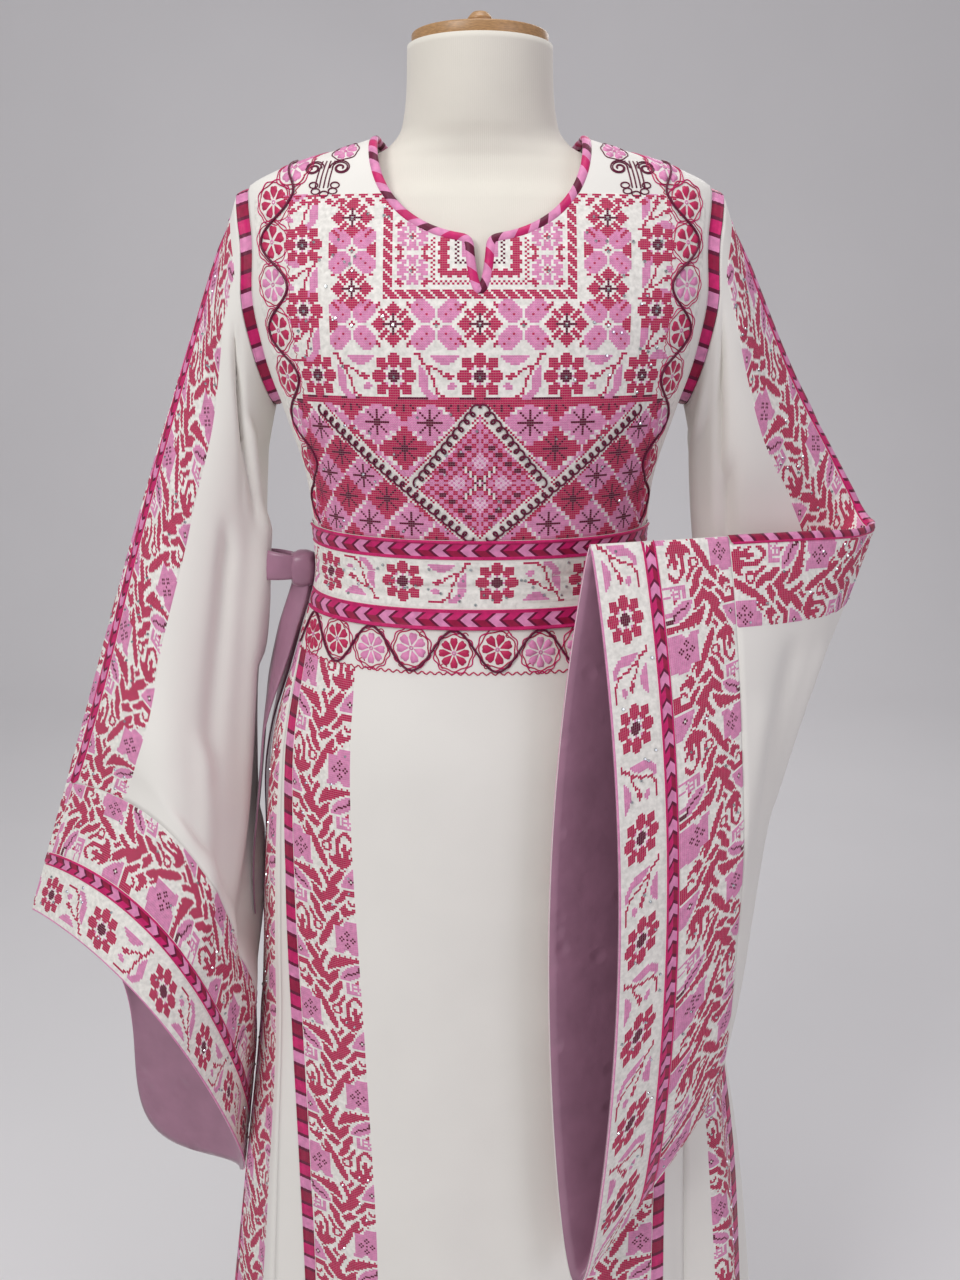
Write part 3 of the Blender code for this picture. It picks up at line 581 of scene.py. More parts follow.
def stamp(chart, motif, row, column):
    """Puts a motif's stitches on a chart, with its middle at (row, column)."""
    high, wide = motif.shape
    top, left = int(round(row)) - high // 2, int(round(column)) - wide // 2
    for r in range(max(0, -top), min(high, chart.shape[0] - top)):
        for c in range(max(0, -left), min(wide, chart.shape[1] - left)):
            if motif[r, c] != BARE:
                chart[top + r, left + c] = motif[r, c]


def vine_chart(rows, columns, start=0):
    """Scrollwork that runs along the rows; every second half repeat is mirrored."""
    unit = charted(VINE)
    both = np.concatenate((unit, unit[:, ::-1]))
    pick = (np.arange(rows) + start) % len(both)
    across = np.clip(np.arange(columns) - (columns - unit.shape[1]) // 2, 0, unit.shape[1] - 1)
    return both[pick][:, across]


def garland_chart(rows, columns, pitch, first):
    """Roses in a row, with a spray of leaves between each two."""
    chart = np.zeros((rows, columns), int)
    rose, spray = mirrored(ROSE), charted(SPRAY)
    for k, column in enumerate(np.arange(first - pitch, columns + pitch, pitch)):
        stamp(chart, rose, rows / 2, column)
        leaf = spray if k % 2 else spray[::-1]
        stamp(chart, leaf, rows / 2, column + pitch / 2)
    return chart


def x_flower(sides=()):
    """Four leaves on the diagonals, each with a dotted vein; sides lists where a wedge is added."""
    y, x = np.mgrid[-10:11, -10:11]
    near, far = np.minimum(abs(x), abs(y)), np.maximum(abs(x), abs(y))
    leaf = (far - near <= 5) & (near + far >= 4) & (near >= 1) & (near + far <= 18)
    chart = np.where(leaf, PINK, BARE)
    chart[(near == far) & (far >= 4) & (far <= 8) & (x % 2 == 0)] = CRIMSON
    chart[near + far <= 1] = CRIMSON
    for side in sides:
        chart[(side * x >= 7) & (side * x - 7 >= 2 * abs(y) - 3)] = CRIMSON
    return chart


def lattice(chart, where, a, r, first, half_wide, half_high, lean=0.0):
    """Stepped diamonds in two colours, set like a net, with eight-rayed stars; first is a light one."""
    chart[where & ((a // 2 + r // 2) % 2 == 0)] = PALE
    for colour, shift in ((PINK, 0), (CRIMSON, 1)):
        a0, r0 = first[0] + shift * half_wide, first[1] + shift * half_high
        row = r0 + np.rint((r - r0) / (2 * half_high)) * 2 * half_high
        column = a0 + np.rint((a - lean * row - a0) / (2 * half_wide)) * 2 * half_wide + lean * row
        across, along = np.abs(a - np.rint(column)), np.abs(r - np.rint(row))
        reach = (across // 2 * 2 + 1) / half_wide + (along // 2 * 2 + 1) / half_high
        chart[where & (reach < 1.06)] = colour
        straight = ((across == 0) & (along <= 5)) | ((along == 0) & (across <= 5))
        slanted = (across == along) & (across <= 4)
        chart[where & (straight | slanted | (np.maximum(across, along) <= 1))] = BURGUNDY


CHEST_HALF, CHEST_ROWS = 104, 152
GARLAND_ROW, MOTIF_ROW, PANEL_TOP = 71, 92, 61      # rows counted up from the belt
LONG_SLOPE, SHORT_SLOPE, PEAK_ROW = 0.817, 1.20, 59.4


def lower_chest(chart, r, a):
    """Three nets of diamonds parted by plain slanting bands, above the belt."""
    long_band = (r - LONG_SLOPE * (a - 3)) * 0.775
    short_band = (PEAK_ROW - SHORT_SLOPE * a - r) * 0.64
    panel = r < PANEL_TOP
    outer = panel & (long_band < -3.4)
    lattice(chart, outer, a, r, (29.2, 7.0), 10.0, 10.5, 0.10)
    upper = panel & (long_band > 3.4) & (short_band < -3.4)
    lattice(chart, upper, a, r, (20.7, 51.5), 11.7, 10.8)
    middle = panel & (long_band > 3.4) & (short_band > 3.4)
    centre_diamond(chart, middle, r - 26, a)
    dotted = (chart.shape[1] + r + a) % 2 == 0
    for edge in (np.abs(np.abs(long_band) - 2.9) < 0.55, np.abs(np.abs(short_band) - 2.9) < 0.55):
        on_short = (long_band > 2.4) | (np.abs(long_band) < 3.5)
        chart[panel & edge & on_short] = BARE
        chart[panel & edge & on_short & dotted & (a < 80)] = CRIMSON
    top = (r >= PANEL_TOP - 1) & (r <= PANEL_TOP + 1) & (a < 84)
    chart[top] = CRIMSON
    dash = (a + 2.3) % 23.4 < 16
    chart[(r == PANEL_TOP + 1) & dash & (a < 80)] = BURGUNDY


def centre_diamond(chart, where, rise, a):
    """A crimson field with dark squares, four small light diamonds and a dotted cross."""
    b = np.abs(rise)
    chart[where] = CRIMSON
    chart[where & ((a // 2 + b // 2) % 2 == 0)] = PINK
    chart[where & (((b == 0) & (a > 13)) | ((a == 0) & (b > 13)))] = PINK
    for x, y in ((4, 15), (7, 12), (11, 8), (15, 5)):
        chart[where & (a >= x) & (a <= x + 2) & (b >= y) & (b <= y + 1)] = BURGUNDY
    small = (np.abs(a - 9.5) + b <= 4) | (a + np.abs(b - 9.5) <= 4)
    chart[where & small] = PALE
    chart[where & small & ((a + b) % 3 == 0)] = PINK
    cross = (a == b) & (a <= 7)
    chart[where & (np.abs(a - b) == 1) & (a + b <= 14) & (a % 2 == 0)] = BARE
    chart[where & cross] = BARE
    chart[where & cross & (a % 2 == 1)] = BURGUNDY
    chart[where & (a + b == 2)] = BURGUNDY


def neck_frame(chart, r, c, a):
    """The roped frame under the neck, with stars, a chequered line and steps inside it."""
    rope = ((a >= 37) & (a <= 40) & (r >= 103) & (r <= 147)) | ((r >= 103) & (r <= 106) & (a <= 40))
    chart[rope] = CRIMSON
    chart[rope & ((c + r) % 5 == 0)] = BARE
    checker = (((a == 19) | (a == 20)) & (r >= 109)) | (((r == 109) | (r == 110)) & (a <= 20))
    chart[checker & ((c + r) % 2 == 0) & (r <= 129)] = CRIMSON
    steps = (a >= 13 + (r // 2) % 2) & (a <= 16 + (r // 2) % 2) & (r >= 113) & (r <= 129)
    steps |= (r >= 112 + (a // 2) % 2) & (r <= 114 + (a // 2) % 2) & (a >= 4) & (a <= 16)
    chart[steps] = CRIMSON
    dark = ((a >= 9) & (a <= 10) & (r >= 118) & (r <= 129)) | ((r >= 118) & (r <= 119) & (a <= 10) & (a > 4))
    chart[dark & ((a + r) % 2 == 0)] = BURGUNDY
    chart[(a >= 4) & (a <= 7) & (r >= 121) & (r <= 128)] = PINK
    star = mirrored(SMALL_STAR)
    for row in (115, 130):
        for side in (-1, 1):
            stamp(chart, star, row, CHEST_HALF + side * 28.5)


def chest_chart():
    """The whole front of the bodice; rows rise from the belt, columns run either side of the middle."""
    r, c = np.mgrid[0:CHEST_ROWS, -CHEST_HALF:CHEST_HALF + 1]
    a = np.abs(c)
    chart = np.zeros(r.shape, int)
    lower_chest(chart, r, a)
    rose, star, spray = mirrored(ROSE), mirrored(STAR), charted(SPRAY)
    for k in range(-2, 3):
        stamp(chart, rose, GARLAND_ROW, CHEST_HALF + 36 * k)
        stamp(chart, star if k % 2 == 0 else x_flower(), MOTIF_ROW, CHEST_HALF + 18 * k)
    for side in (-1, 1):
        middle = CHEST_HALF + side * 54
        for k in (18, 54):
            stamp(chart, spray[:, ::side], GARLAND_ROW, CHEST_HALF + side * k)
        stamp(chart, x_flower((side,)), MOTIF_ROW, middle)
        stamp(chart, star, 107, middle)
        stamp(chart, x_flower((-1, 1)), 124, middle)
        stamp(chart, star, 139, middle)
        outer = CHEST_HALF + side * 77
        for row in (86, 112, 143):
            stamp(chart, spray[::-side, ::-side], row, outer)
        for row in (98, 127):
            stamp(chart, rose, row, outer)
    border = (a >= 39) & (a <= 87) & (r >= 146) & (r <= 150)
    chart[border & ((a + r) % 6 < 4) & ((a - r) % 6 < 4)] = CRIMSON
    neck_frame(chart, r, c, a)
    chart[a > 88] = BARE
    return chart


# ---------------------------------------------------------------- meshes
CREPE_SLOT, STITCHED_SLOT, SATIN_SLOT = "ivory_crepe", "stitched_pink", "mauve_satin"


def stands_for(piece, slot, *nodes):
    """Hides the frame's nodes that a piece takes the place of; the slot is not used."""
    if nodes:
        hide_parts(*nodes)
    return piece


def linked(name, data):
    """A new object in the scene."""
    made = bpy.data.objects.new(name, data)
    bpy.context.scene.collection.objects.link(made)
    return made


def new_piece(name, points, faces, stuff, threads=None, uv=None):
    """A mesh object that rides on the frame; threads colours its faces, uv is a pair a point."""
    mesh = bpy.data.meshes.new(name)
    mesh.from_pydata(np.asarray(points, float).reshape(-1, 3).tolist(), [], faces)
    made = linked(name, mesh)
    mesh.materials.append(stuff)
    mesh.polygons.foreach_set("use_smooth", np.ones(len(mesh.polygons), bool))
    counts = np.zeros(len(mesh.polygons), int)
    mesh.polygons.foreach_get("loop_total", counts)
    if threads is not None:
        shades = mesh.color_attributes.new("thread", "FLOAT_COLOR", "CORNER")
        colours = thread_colours()[np.asarray(threads)]
        shades.data.foreach_set("color", np.repeat(colours, counts, axis=0).ravel())
    if uv is not None:
        corners = np.zeros(len(mesh.loops), int)
        mesh.loops.foreach_get("vertex_index", corners)
        layer = mesh.uv_layers.new(name="lay")
        layer.data.foreach_set("uv", np.asarray(uv, float).reshape(-1, 2)[corners].ravel())
    mesh.update()
    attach(made, "root")
    return made


def net(rows, columns, around=False):
    """Faces between neighbouring points of a grid."""
    r, c = np.mgrid[0:rows - 1, 0:columns if around else columns - 1]
    a, b = r * columns + c, r * columns + (c + 1) % columns
    return np.stack((a, b, b + columns, a + columns), axis=-1).reshape(-1, 4)


def turned_out(points, faces, up):
    """The faces, all turned over if most of them look against the given directions."""
    corner = points[faces[:, 0]]
    normal = np.cross(points[faces[:, 1]] - corner, points[faces[:, 2]] - corner)
    return faces if (normal * up[faces[:, 0]]).sum() > 0 else faces[:, ::-1]


def shell(name, inner, outer, around, stuff):
    """A closed wall between two grids of points."""
    rows, columns = outer.shape[:2]
    points = np.concatenate((outer.reshape(-1, 3), inner.reshape(-1, 3)))
    under = rows * columns
    faces = net(rows, columns, around)
    c = np.arange(columns if around else columns - 1)
    beside, last = (c + 1) % columns, (rows - 1) * columns
    edges = [(c, beside, 1), (c + last, beside + last, -1)]
    if not around:
        r = np.arange(rows - 1) * columns
        edges += [(r, r + columns, -1), (r + columns - 1, r + 2 * columns - 1, 1)]
    edges = [np.stack((a, under + a, under + b, b) if way > 0 else (a, b, under + b, under + a), axis=1)
             for a, b, way in edges]
    out = (outer - inner).reshape(-1, 3)
    faces = turned_out(points, np.concatenate((faces, faces[:, ::-1] + under, *edges)),
                       np.concatenate((out, -out)))
    return new_piece(name, points, faces.tolist(), stuff)


def stitched(name, chart, place, lift, *nodes):
    """A sheet with one face a stitch.  place(row, column, lift) is read at the stitches' corners."""
    rows, columns = chart.shape
    sewn = np.pad((chart > BARE).astype(float), 1)
    there = np.pad(chart != MISSING, 1)
    halves = (slice(None, -1), slice(1, None))
    corners = [(i, j) for i in halves for j in halves]
    height = sum(sewn[corner] for corner in corners) / 4
    whole = np.logical_and.reduce([there[corner] for corner in corners])
    some = np.logical_or.reduce([there[corner] for corner in corners])
    r, c = np.mgrid[0:rows + 1, 0:columns + 1].astype(float)
    lifts = np.where(whole, lift + THREAD_HIGH * height, CLOTH - 0.0002)
    points = place(r, c, lifts)
    keep = some.ravel()
    faces = (np.cumsum(keep) - 1)[net(rows + 1, columns + 1)[(chart != MISSING).ravel()]]
    up = (place(r, c, lifts + 0.001) - points).reshape(-1, 3)[keep]
    points = points.reshape(-1, 3)[keep]
    faces = turned_out(points, faces, up)
    uv = np.stack((c, r), axis=-1).reshape(-1, 2)[keep]
    made = new_piece(name, points, faces.tolist(), finish("cotton"), chart[chart != MISSING], uv)
    return stands_for(made, STITCHED_SLOT, *nodes)


class Sewn:
    """Small parts in many threads, gathered into one piece."""

    def __init__(self):
        self.points, self.faces, self.threads, self.uv, self.count = [], [], [], [], 0

    def add(self, points, faces, threads, uv):
        points = np.asarray(points, float).reshape(-1, 3)
        self.points.append(points)
        self.faces += [tuple(point + self.count for point in face) for face in faces]
        self.threads += list(np.broadcast_to(threads, len(faces)))
        self.uv.append(np.asarray(uv, float).reshape(-1, 2))
        self.count += len(points)

    def piece(self, name, *nodes):
        made = new_piece(name, np.concatenate(self.points), self.faces, finish("rayon"),
                         self.threads, np.concatenate(self.uv))
        return stands_for(made, STITCHED_SLOT, *nodes)


def barred(bar, *threads):
    """A trim's repeats: a burgundy bar, then a block in one of the threads; bar is its share."""
    return tuple(((bar, BURGUNDY), (1 - bar, thread)) for thread in threads)


ARROW = 0.0115            # from one arrow to the next
ARROWS, ARROW_SLANT = barred(0.25, PINK, FUCHSIA), 1.15


def blocks(sewn, place, length, half, pitch, bands, slant, high, closed=False):
    """A trim of padded satin blocks: each repeat is a list of (share of the pitch, thread).

    slant draws the middle of each block forward into an arrow."""
    count = max(len(bands), round(length / pitch / len(bands)) * len(bands))
    pitch = length / count
    across = np.array((-1.0, -0.92, -0.76, -0.69, -0.36, 0.0, 0.36, 0.69, 0.76, 0.92, 1.0))
    dome = np.array((-0.25, 0.75, 0.90, 0.45, 1.0, 0.72, 1.0, 0.45, 0.90, 0.75, -0.25))
    starts, threads = [], []
    for k in range(count):
        at = k * pitch
        for share, thread in bands[k % len(bands)]:
            starts.append(at)
            threads.append(thread)
            at += share * pitch
    starts.append(length)
    u = np.array(starts)[:, None] + slant * half * (1 - np.abs(across)) - slant * half / 2
    if not closed:
        u = np.clip(u, 0, length)
    dark = np.array([thread == BURGUNDY for thread in threads])
    last = dark[:1] | dark[-1:]
    low = np.concatenate((last, dark[1:] | dark[:-1], last))
    lift = CLOTH + high * dome * np.where(low, 0.62, 1.0)[:, None]
    v = np.broadcast_to(across * half, u.shape)
    colours = np.repeat(threads, len(across) - 1).reshape(len(threads), -1)
    if slant:
        halfway = (across[:-1] + across[1:]) / 2
        under = (colours == FUCHSIA) & (halfway < 0)
        colours[under] = DEEP
        colours[:, np.abs(halfway) > 0.70] = FUCHSIA
    points = place(u, v, lift)
    up = (place(u, v, lift + 0.001) - points).reshape(-1, 3)
    faces = turned_out(points.reshape(-1, 3), net(len(starts), len(across)), up)
    sewn.add(points, faces, colours.ravel(), np.stack((u + np.abs(v), v), axis=-1))


def cord(sewn, place, u, v, radius, thread, lift=None, closed=False, sides=5):
    """A cord laid on the cloth through local points u, v."""
    u, v = np.asarray(u, float), np.asarray(v, float)
    lift = CLOTH + radius * 0.4 if lift is None else lift
    centre = place(u, v, lift)
    if closed:
        tangent = np.roll(centre, -1, axis=0) - np.roll(centre, 1, axis=0)
    else:
        tangent = np.gradient(centre, axis=0)
    up = place(u, v, lift + 0.002) - centre
    beside, up = unit(np.cross(up, tangent)), unit(up)
    turn = np.linspace(0, 2 * np.pi, sides, endpoint=False)[:, None]
    ring = centre[:, None] + radius * (np.cos(turn) * beside[:, None] + np.sin(turn) * up[:, None])
    count = len(ring)
    faces = net(count + 1, sides, True) % (count * sides) if closed else net(count, sides, True)
    faces = faces.tolist()
    if not closed:
        faces += [tuple(range(sides))[::-1], tuple(range((count - 1) * sides, count * sides))]
    run = running(centre)[:, None]
    uv = np.stack(np.broadcast_arrays(run, np.arange(sides) * 0.001), axis=-1)
    sewn.add(ring, faces, thread, uv)


RINGS_ROUND = ((1.13, 1.0, 0.05, CRIMSON), (1.29, 1.35, 0.06, FUCHSIA))


def petals(sewn, place, u, v, size, count, thread, turn, rings=RINGS_ROUND):
    """A satin flower: padded wedges, a knot in the middle, and two wavy lines round them all."""
    arc = 2 * np.pi / count
    i = np.arange(8)
    beside = (i + 1) % 8
    outer = np.stack((1 + i, 9 + i, 9 + beside, 1 + beside), axis=1)
    inner = np.stack((0 * i, 1 + i, 1 + beside), axis=1)
    spread = np.linspace(-0.455, 0.455, 7)
    reach = size * (1 - 0.30 * np.abs(spread / 0.455) ** 4 - 0.07 * np.exp(-(spread / 0.12) ** 2))
    lift = CLOTH + np.concatenate(([0.0012], np.full(8, 0.0009), np.full(8, -0.0002)))
    for k in range(count):
        way = turn + arc * (k + spread)
        heart = 0.13 * size
        rim_u = np.concatenate(([heart * math.cos(turn + arc * k)], reach * np.cos(way)))
        rim_v = np.concatenate(([heart * math.sin(turn + arc * k)], reach * np.sin(way)))
        mid_u, mid_v = rim_u.mean(), rim_v.mean()
        all_u = u + np.concatenate(([mid_u], mid_u + (rim_u - mid_u) * 0.78, rim_u))
        all_v = v + np.concatenate(([mid_v], mid_v + (rim_v - mid_v) * 0.78, rim_v))
        points = place(all_u, all_v, lift)
        up = place(all_u, all_v, lift + 0.001) - points
        faces = turned_out(points, outer, up).tolist() + turned_out(points, inner, up).tolist()
        sewn.add(points, faces, thread, np.stack((all_u, all_v), axis=-1))
    way = np.linspace(0, 2 * np.pi, 9 * count, endpoint=False)
    for reach, lobes, sway, shade in rings:
        wave = size * (reach + sway * np.cos((way - turn) * round(count * lobes)))
        cord(sewn, place, u + wave * np.cos(way), v + wave * np.sin(way), 0.00055, shade,
             closed=True, sides=4)
    ring = way[::6]
    cord(sewn, place, u + 0.10 * size * np.cos(ring), v + 0.10 * size * np.sin(ring), 0.0006,
         PINK, closed=True, sides=4)


STONE_RADIUS = 0.00145


def seats(place, row, column, lift=0.0005):
    """Where stones sit: points on the stitches, and the same points 1 mm further out."""
    return place(row, column, CLOTH + lift), place(row, column, CLOTH + lift + 0.001)


def stones(places, name):
    """Faceted glass stones on a list of seats."""
    base = np.concatenate([pair[0].reshape(-1, 3) for pair in places])
    above = np.concatenate([pair[1].reshape(-1, 3) for pair in places])
    up = unit(above - base)
    side = unit(np.cross(up, (0.31, 0.17, 0.93)))
    across = np.cross(up, side)
    turn = np.linspace(0, 2 * np.pi, 6, endpoint=False)[None, :, None]
    round_way = np.cos(turn) * side[:, None] + np.sin(turn) * across[:, None]
    low = base[:, None] + round_way * STONE_RADIUS
    high = base[:, None] + round_way * STONE_RADIUS * 0.62 + up[:, None] * STONE_RADIUS * 0.70
    points = np.concatenate((low, high), axis=1).reshape(-1, 3)
    faces = []
    for k in range(len(base)):
        at = 12 * k
        faces += [(at + i, at + (i + 1) % 6, at + 6 + (i + 1) % 6, at + 6 + i) for i in range(6)]
        faces.append(tuple(at + 6 + i for i in range(6)))
    made = new_piece(name, points, faces, finish("glass"))
    made.data.polygons.foreach_set("use_smooth", np.zeros(len(faces), bool))
    return stands_for(made, STITCHED_SLOT)


# ---------------------------------------------------------------- finishes
def linear(code):
    """An sRGB hex colour as linear red, green and blue."""
    shares = [int(code[k:k + 2], 16) / 255 for k in (0, 2, 4)]
    return tuple(v / 12.92 if v <= 0.04045 else ((v + 0.055) / 1.055) ** 2.4 for v in shares)


def colour_property(name, description, code):
    return FloatVectorProperty(name=name, description=description, subtype="COLOR", size=3,
                               min=0.0, max=1.0, default=linear(code))


class ThobeThreads(bpy.types.PropertyGroup):
    """The colours of the embroidery threads."""
    crimson: colour_property("Crimson", "Cotton of the scrolls, roses and stars", "BA2655")
    pink: colour_property("Light pink", "Cotton of the leaves and squares", "DD8AB6")
    burgundy: colour_property("Burgundy", "Cotton of the outlines and small motifs", "640A34")
    fuchsia: colour_property("Fuchsia", "Satin thread of the trims", "C81E68")
    deep: colour_property("Deep crimson", "Satin thread of every second block", "96123F")
    pale: colour_property("Pale pink", "Cotton of the steps between diamonds", "EDC3D8")


class ThobeCloths(bpy.types.PropertyGroup):
    """The colours of the cloths and of the stand, and the weight of the crepe's grain."""
    ivory: colour_property("Ivory crepe", "The dress's own cloth", "E9E6DF")
    mauve: colour_property("Mauve satin", "Cuff linings, the belt's back and its ties", "A3768C")
    jersey: colour_property("Cream jersey", "The form's cover", "E2DDD1")
    steel: colour_property("Black steel", "Pole and base", "1B1B1D")
    beech: colour_property("Beech", "The cap on the form's neck", "B98F62")
    floor: colour_property("Floor", "The floor and the wall behind", "ECEAEB")
    grain: FloatProperty(name="Crepe grain", description="Spacing of the crepe's pebble",
                         default=0.0009, min=0.0003, max=0.003, unit="LENGTH")


def thread_colours():
    """One colour for each thread number; alpha says that it is thread and not bare crepe."""
    threads, cloths = bpy.context.scene.thobe_threads, bpy.context.scene.thobe_cloths
    rows = [(*cloths.ivory, 0.0)]
    rows += [(*getattr(threads, name), 1.0)
             for name in ("crimson", "pink", "burgundy", "fuchsia", "deep", "pale")]
    return np.array(rows)


def add_node(tree, kind, settings, inputs):
    """Adds a node, sets its choices and sockets, and links the sockets that are given a source."""
    node = tree.nodes.new(kind)
    for name, value in settings.items():
        setattr(node, name, value)
    for name, value in inputs.items():
        if isinstance(value, bpy.types.NodeSocket):
            tree.links.new(value, node.inputs[name])
        else:
            node.inputs[name].default_value = value
    return node


def new_finish(name, roughness, gloss=0.5, sheen=0.0, sheen_roughness=0.5):
    """A material with its shader, its node tree and its object coordinates."""
    made = bpy.data.materials.new(name)
    made.use_nodes = True
    tree = made.node_tree
    shader = tree.nodes["Principled BSDF"]
    for socket, value in (("Roughness", roughness), ("Specular IOR Level", gloss),
                          ("Sheen Weight", sheen), ("Sheen Roughness", sheen_roughness)):
        shader.inputs[socket].default_value = value
    place = add_node(tree, "ShaderNodeTexCoord", {}, {})
    return made, tree, shader, place.outputs["Object"]


def maths(tree, operation, first, second=None, kind="ShaderNodeMath"):
    """One step of arithmetic on a socket or two."""
    inputs = {0: first} if second is None else {0: first, 1: second}
    return add_node(tree, kind, {"operation": operation}, inputs).outputs[0]


def ranged(tree, value, low, high, to_low, to_high, curve="LINEAR"):
    """A value moved from one range to another."""
    return add_node(tree, "ShaderNodeMapRange", {"interpolation_type": curve},
                    {0: value, 1: low, 2: high, 3: to_low, 4: to_high}).outputs[0]


def noise(tree, place, scale, detail=2.0):
    return add_node(tree, "ShaderNodeTexNoise", {},
                    {"Vector": place, "Scale": scale, "Detail": detail}).outputs["Fac"]


def waves(tree, place, scale, distortion):
    """Parallel lines across x."""
    return add_node(tree, "ShaderNodeTexWave", {"bands_direction": "X"},
                    {"Vector": place, "Scale": scale, "Distortion": distortion})


def shaded(tree, colour, level):
    return add_node(tree, "ShaderNodeMix", {"data_type": "RGBA", "blend_type": "MULTIPLY"},
                    {0: 1.0, 6: colour, 7: level}).outputs[2]


def mottled(tree, colour, place, scale, light, dark):
    """A colour that wanders a little lighter and darker over the cloth."""
    return shaded(tree, colour, ranged(tree, noise(tree, place, scale, 3.0), 0.3, 0.7, dark, light))


def painted(tree, shader, colour, height=None, strength=0.0, distance=0.0):
    """Links a colour to the shader, and a height as its bump."""
    tree.links.new(colour, shader.inputs["Base Color"])
    if height is not None:
        bump = add_node(tree, "ShaderNodeBump", {},
                        {"Height": height, "Strength": strength, "Distance": distance})
        tree.links.new(bump.outputs[0], shader.inputs["Normal"])


def crepe_finish():
    """Polyester crepe: matte, with a fine pebble from its twisted yarns (0.9 mm)."""
    cloths = bpy.context.scene.thobe_cloths
    made, tree, shader, place = new_finish("ivory polyester crepe", 0.72, sheen=0.20)
    colour = mottled(tree, (*cloths.ivory, 1), place, 14.0, 1.0, 0.965)
    painted(tree, shader, colour, noise(tree, place, 1 / cloths.grain), 0.22, 0.0003)
    return made


def stitch_inputs(tree):
    """A stitch's own colour, how much of it is thread, and its place in its chart or trim."""
    thread = add_node(tree, "ShaderNodeAttribute", {"attribute_name": "thread"}, {})
    lay = add_node(tree, "ShaderNodeUVMap", {"uv_map": "lay"}, {})
    return thread.outputs["Color"], thread.outputs["Alpha"], lay.outputs[0]


def cross_stitch_finish():
    """Stranded cotton in cross-stitch on crepe: each thread crosses its 1.8 mm square from corner
    to corner, and pale cloth shows between the rows."""
    vector = "ShaderNodeVectorMath"
    made, tree, shader, place = new_finish("stranded cotton cross-stitch", 0.70, 0.12, 0.06, 0.4)
    colour, sewn, lay = stitch_inputs(tree)
    off_middle = maths(tree, "SUBTRACT", maths(tree, "FRACTION", lay, kind=vector), (0.5, 0.5, 0.0), vector)
    reach = maths(tree, "ABSOLUTE", off_middle, kind=vector)
    x, y, _ = add_node(tree, "ShaderNodeSeparateXYZ", {}, {0: reach}).outputs
    off_leg = maths(tree, "ABSOLUTE", maths(tree, "SUBTRACT", x, y))
    leg = ranged(tree, off_leg, 0.0, 0.42, 1.0, 0.0, "SMOOTHSTEP")
    gaps = maths(tree, "MAXIMUM", ranged(tree, y, 0.38, 0.49, 0.0, 0.34),
                 ranged(tree, x, 0.42, 0.50, 0.0, 0.20))
    # The thread's colour mottled lighter and darker every few millimetres: partly random tone of the cotton,
    # partly painted sheen.
    tone_and_painted_sheen = mottled(tree, colour, place, 260.0, 1.10, 0.84)
    mixed = add_node(tree, "ShaderNodeMix", {"data_type": "RGBA"},
                     {0: maths(tree, "MULTIPLY", gaps, sewn), 6: tone_and_painted_sheen,
                      7: (*bpy.context.scene.thobe_cloths.ivory, 1)})
    painted(tree, shader, mixed.outputs[2], maths(tree, "MULTIPLY", leg, sewn), 0.55, 0.0004)
    return made


def satin_stitch_finish():
    """Rayon satin-stitch: smooth, glossy parallel threads about 0.5 mm apart."""
    made, tree, shader, place = new_finish("rayon satin-stitch", 0.40, 0.25, 0.08)
    colour, _, lay = stitch_inputs(tree)
    painted(tree, shader, mottled(tree, colour, place, 180.0, 1.14, 0.82),
            waves(tree, lay, 320.0, 0.6).outputs["Fac"], 0.35, 0.0002)
    return made


def satin_finish():
    """Polyester satin: a soft gloss, with light pulls where the embroidery's ends catch it."""
    made, tree, shader, place = new_finish("mauve polyester satin", 0.34, 0.5, 0.35, 0.3)
    colour = mottled(tree, (*bpy.context.scene.thobe_cloths.mauve, 1), place, 30.0, 1.06, 0.88)
    pulls = add_node(tree, "ShaderNodeTexVoronoi", {"feature": "F1"}, {"Vector": place, "Scale": 32.0})
    dimple = ranged(tree, pulls.outputs["Distance"], 0.0, 0.30, 0.0, 1.0, "SMOOTHSTEP")
    painted(tree, shader, colour, maths(tree, "ADD", dimple, noise(tree, place, 45.0)), 0.45, 0.0022)
    return made


def jersey_finish():
    """Cotton jersey stretched over padding: matte, fine upright ribs 0.8 mm apart."""
    made, tree, shader, place = new_finish("cream cotton jersey", 0.85, sheen=0.25)
    colour = mottled(tree, (*bpy.context.scene.thobe_cloths.jersey, 1), place, 20.0, 1.0, 0.95)
    ribs = waves(tree, place, 200.0, 1.0)
    painted(tree, shader, colour, ribs.outputs["Fac"], 0.20, 0.0003)
    return made


def glass_finish():
    """Foil-backed glass stones: a bright mirror behind clear facets."""
    made, tree, shader, place = new_finish("foil-backed glass", 0.10)
    for socket, value in (("Metallic", 0.9), ("Coat Weight", 1.0), ("Coat Roughness", 0.03)):
        shader.inputs[socket].default_value = value
    painted(tree, shader, mottled(tree, (*linear("D5DEE2"), 1), place, 90.0, 1.0, 0.55))
    return made


def steel_finish():
    """Powder-coated steel: satin black with a fine orange-peel texture."""
    made, tree, shader, place = new_finish("black powder-coated steel", 0.42)
    colour = mottled(tree, (*bpy.context.scene.thobe_cloths.steel, 1), place, 60.0, 1.1, 0.85)
    painted(tree, shader, colour, noise(tree, place, 900.0), 0.2, 0.0002)
    return made


def beech_finish():
    """Waxed beech: short dark flecks across a pale, even grain."""
    made, tree, shader, place = new_finish("waxed beech", 0.38)
    longer = add_node(tree, "ShaderNodeMapping", {}, {"Vector": place, "Scale": (60.0, 60.0, 420.0)})
    level = ranged(tree, noise(tree, longer.outputs[0], 4.0, 4.0), 0.35, 0.65, 0.72, 1.05)
    painted(tree, shader, shaded(tree, (*bpy.context.scene.thobe_cloths.beech, 1), level))
    return made


FINISHES = {}


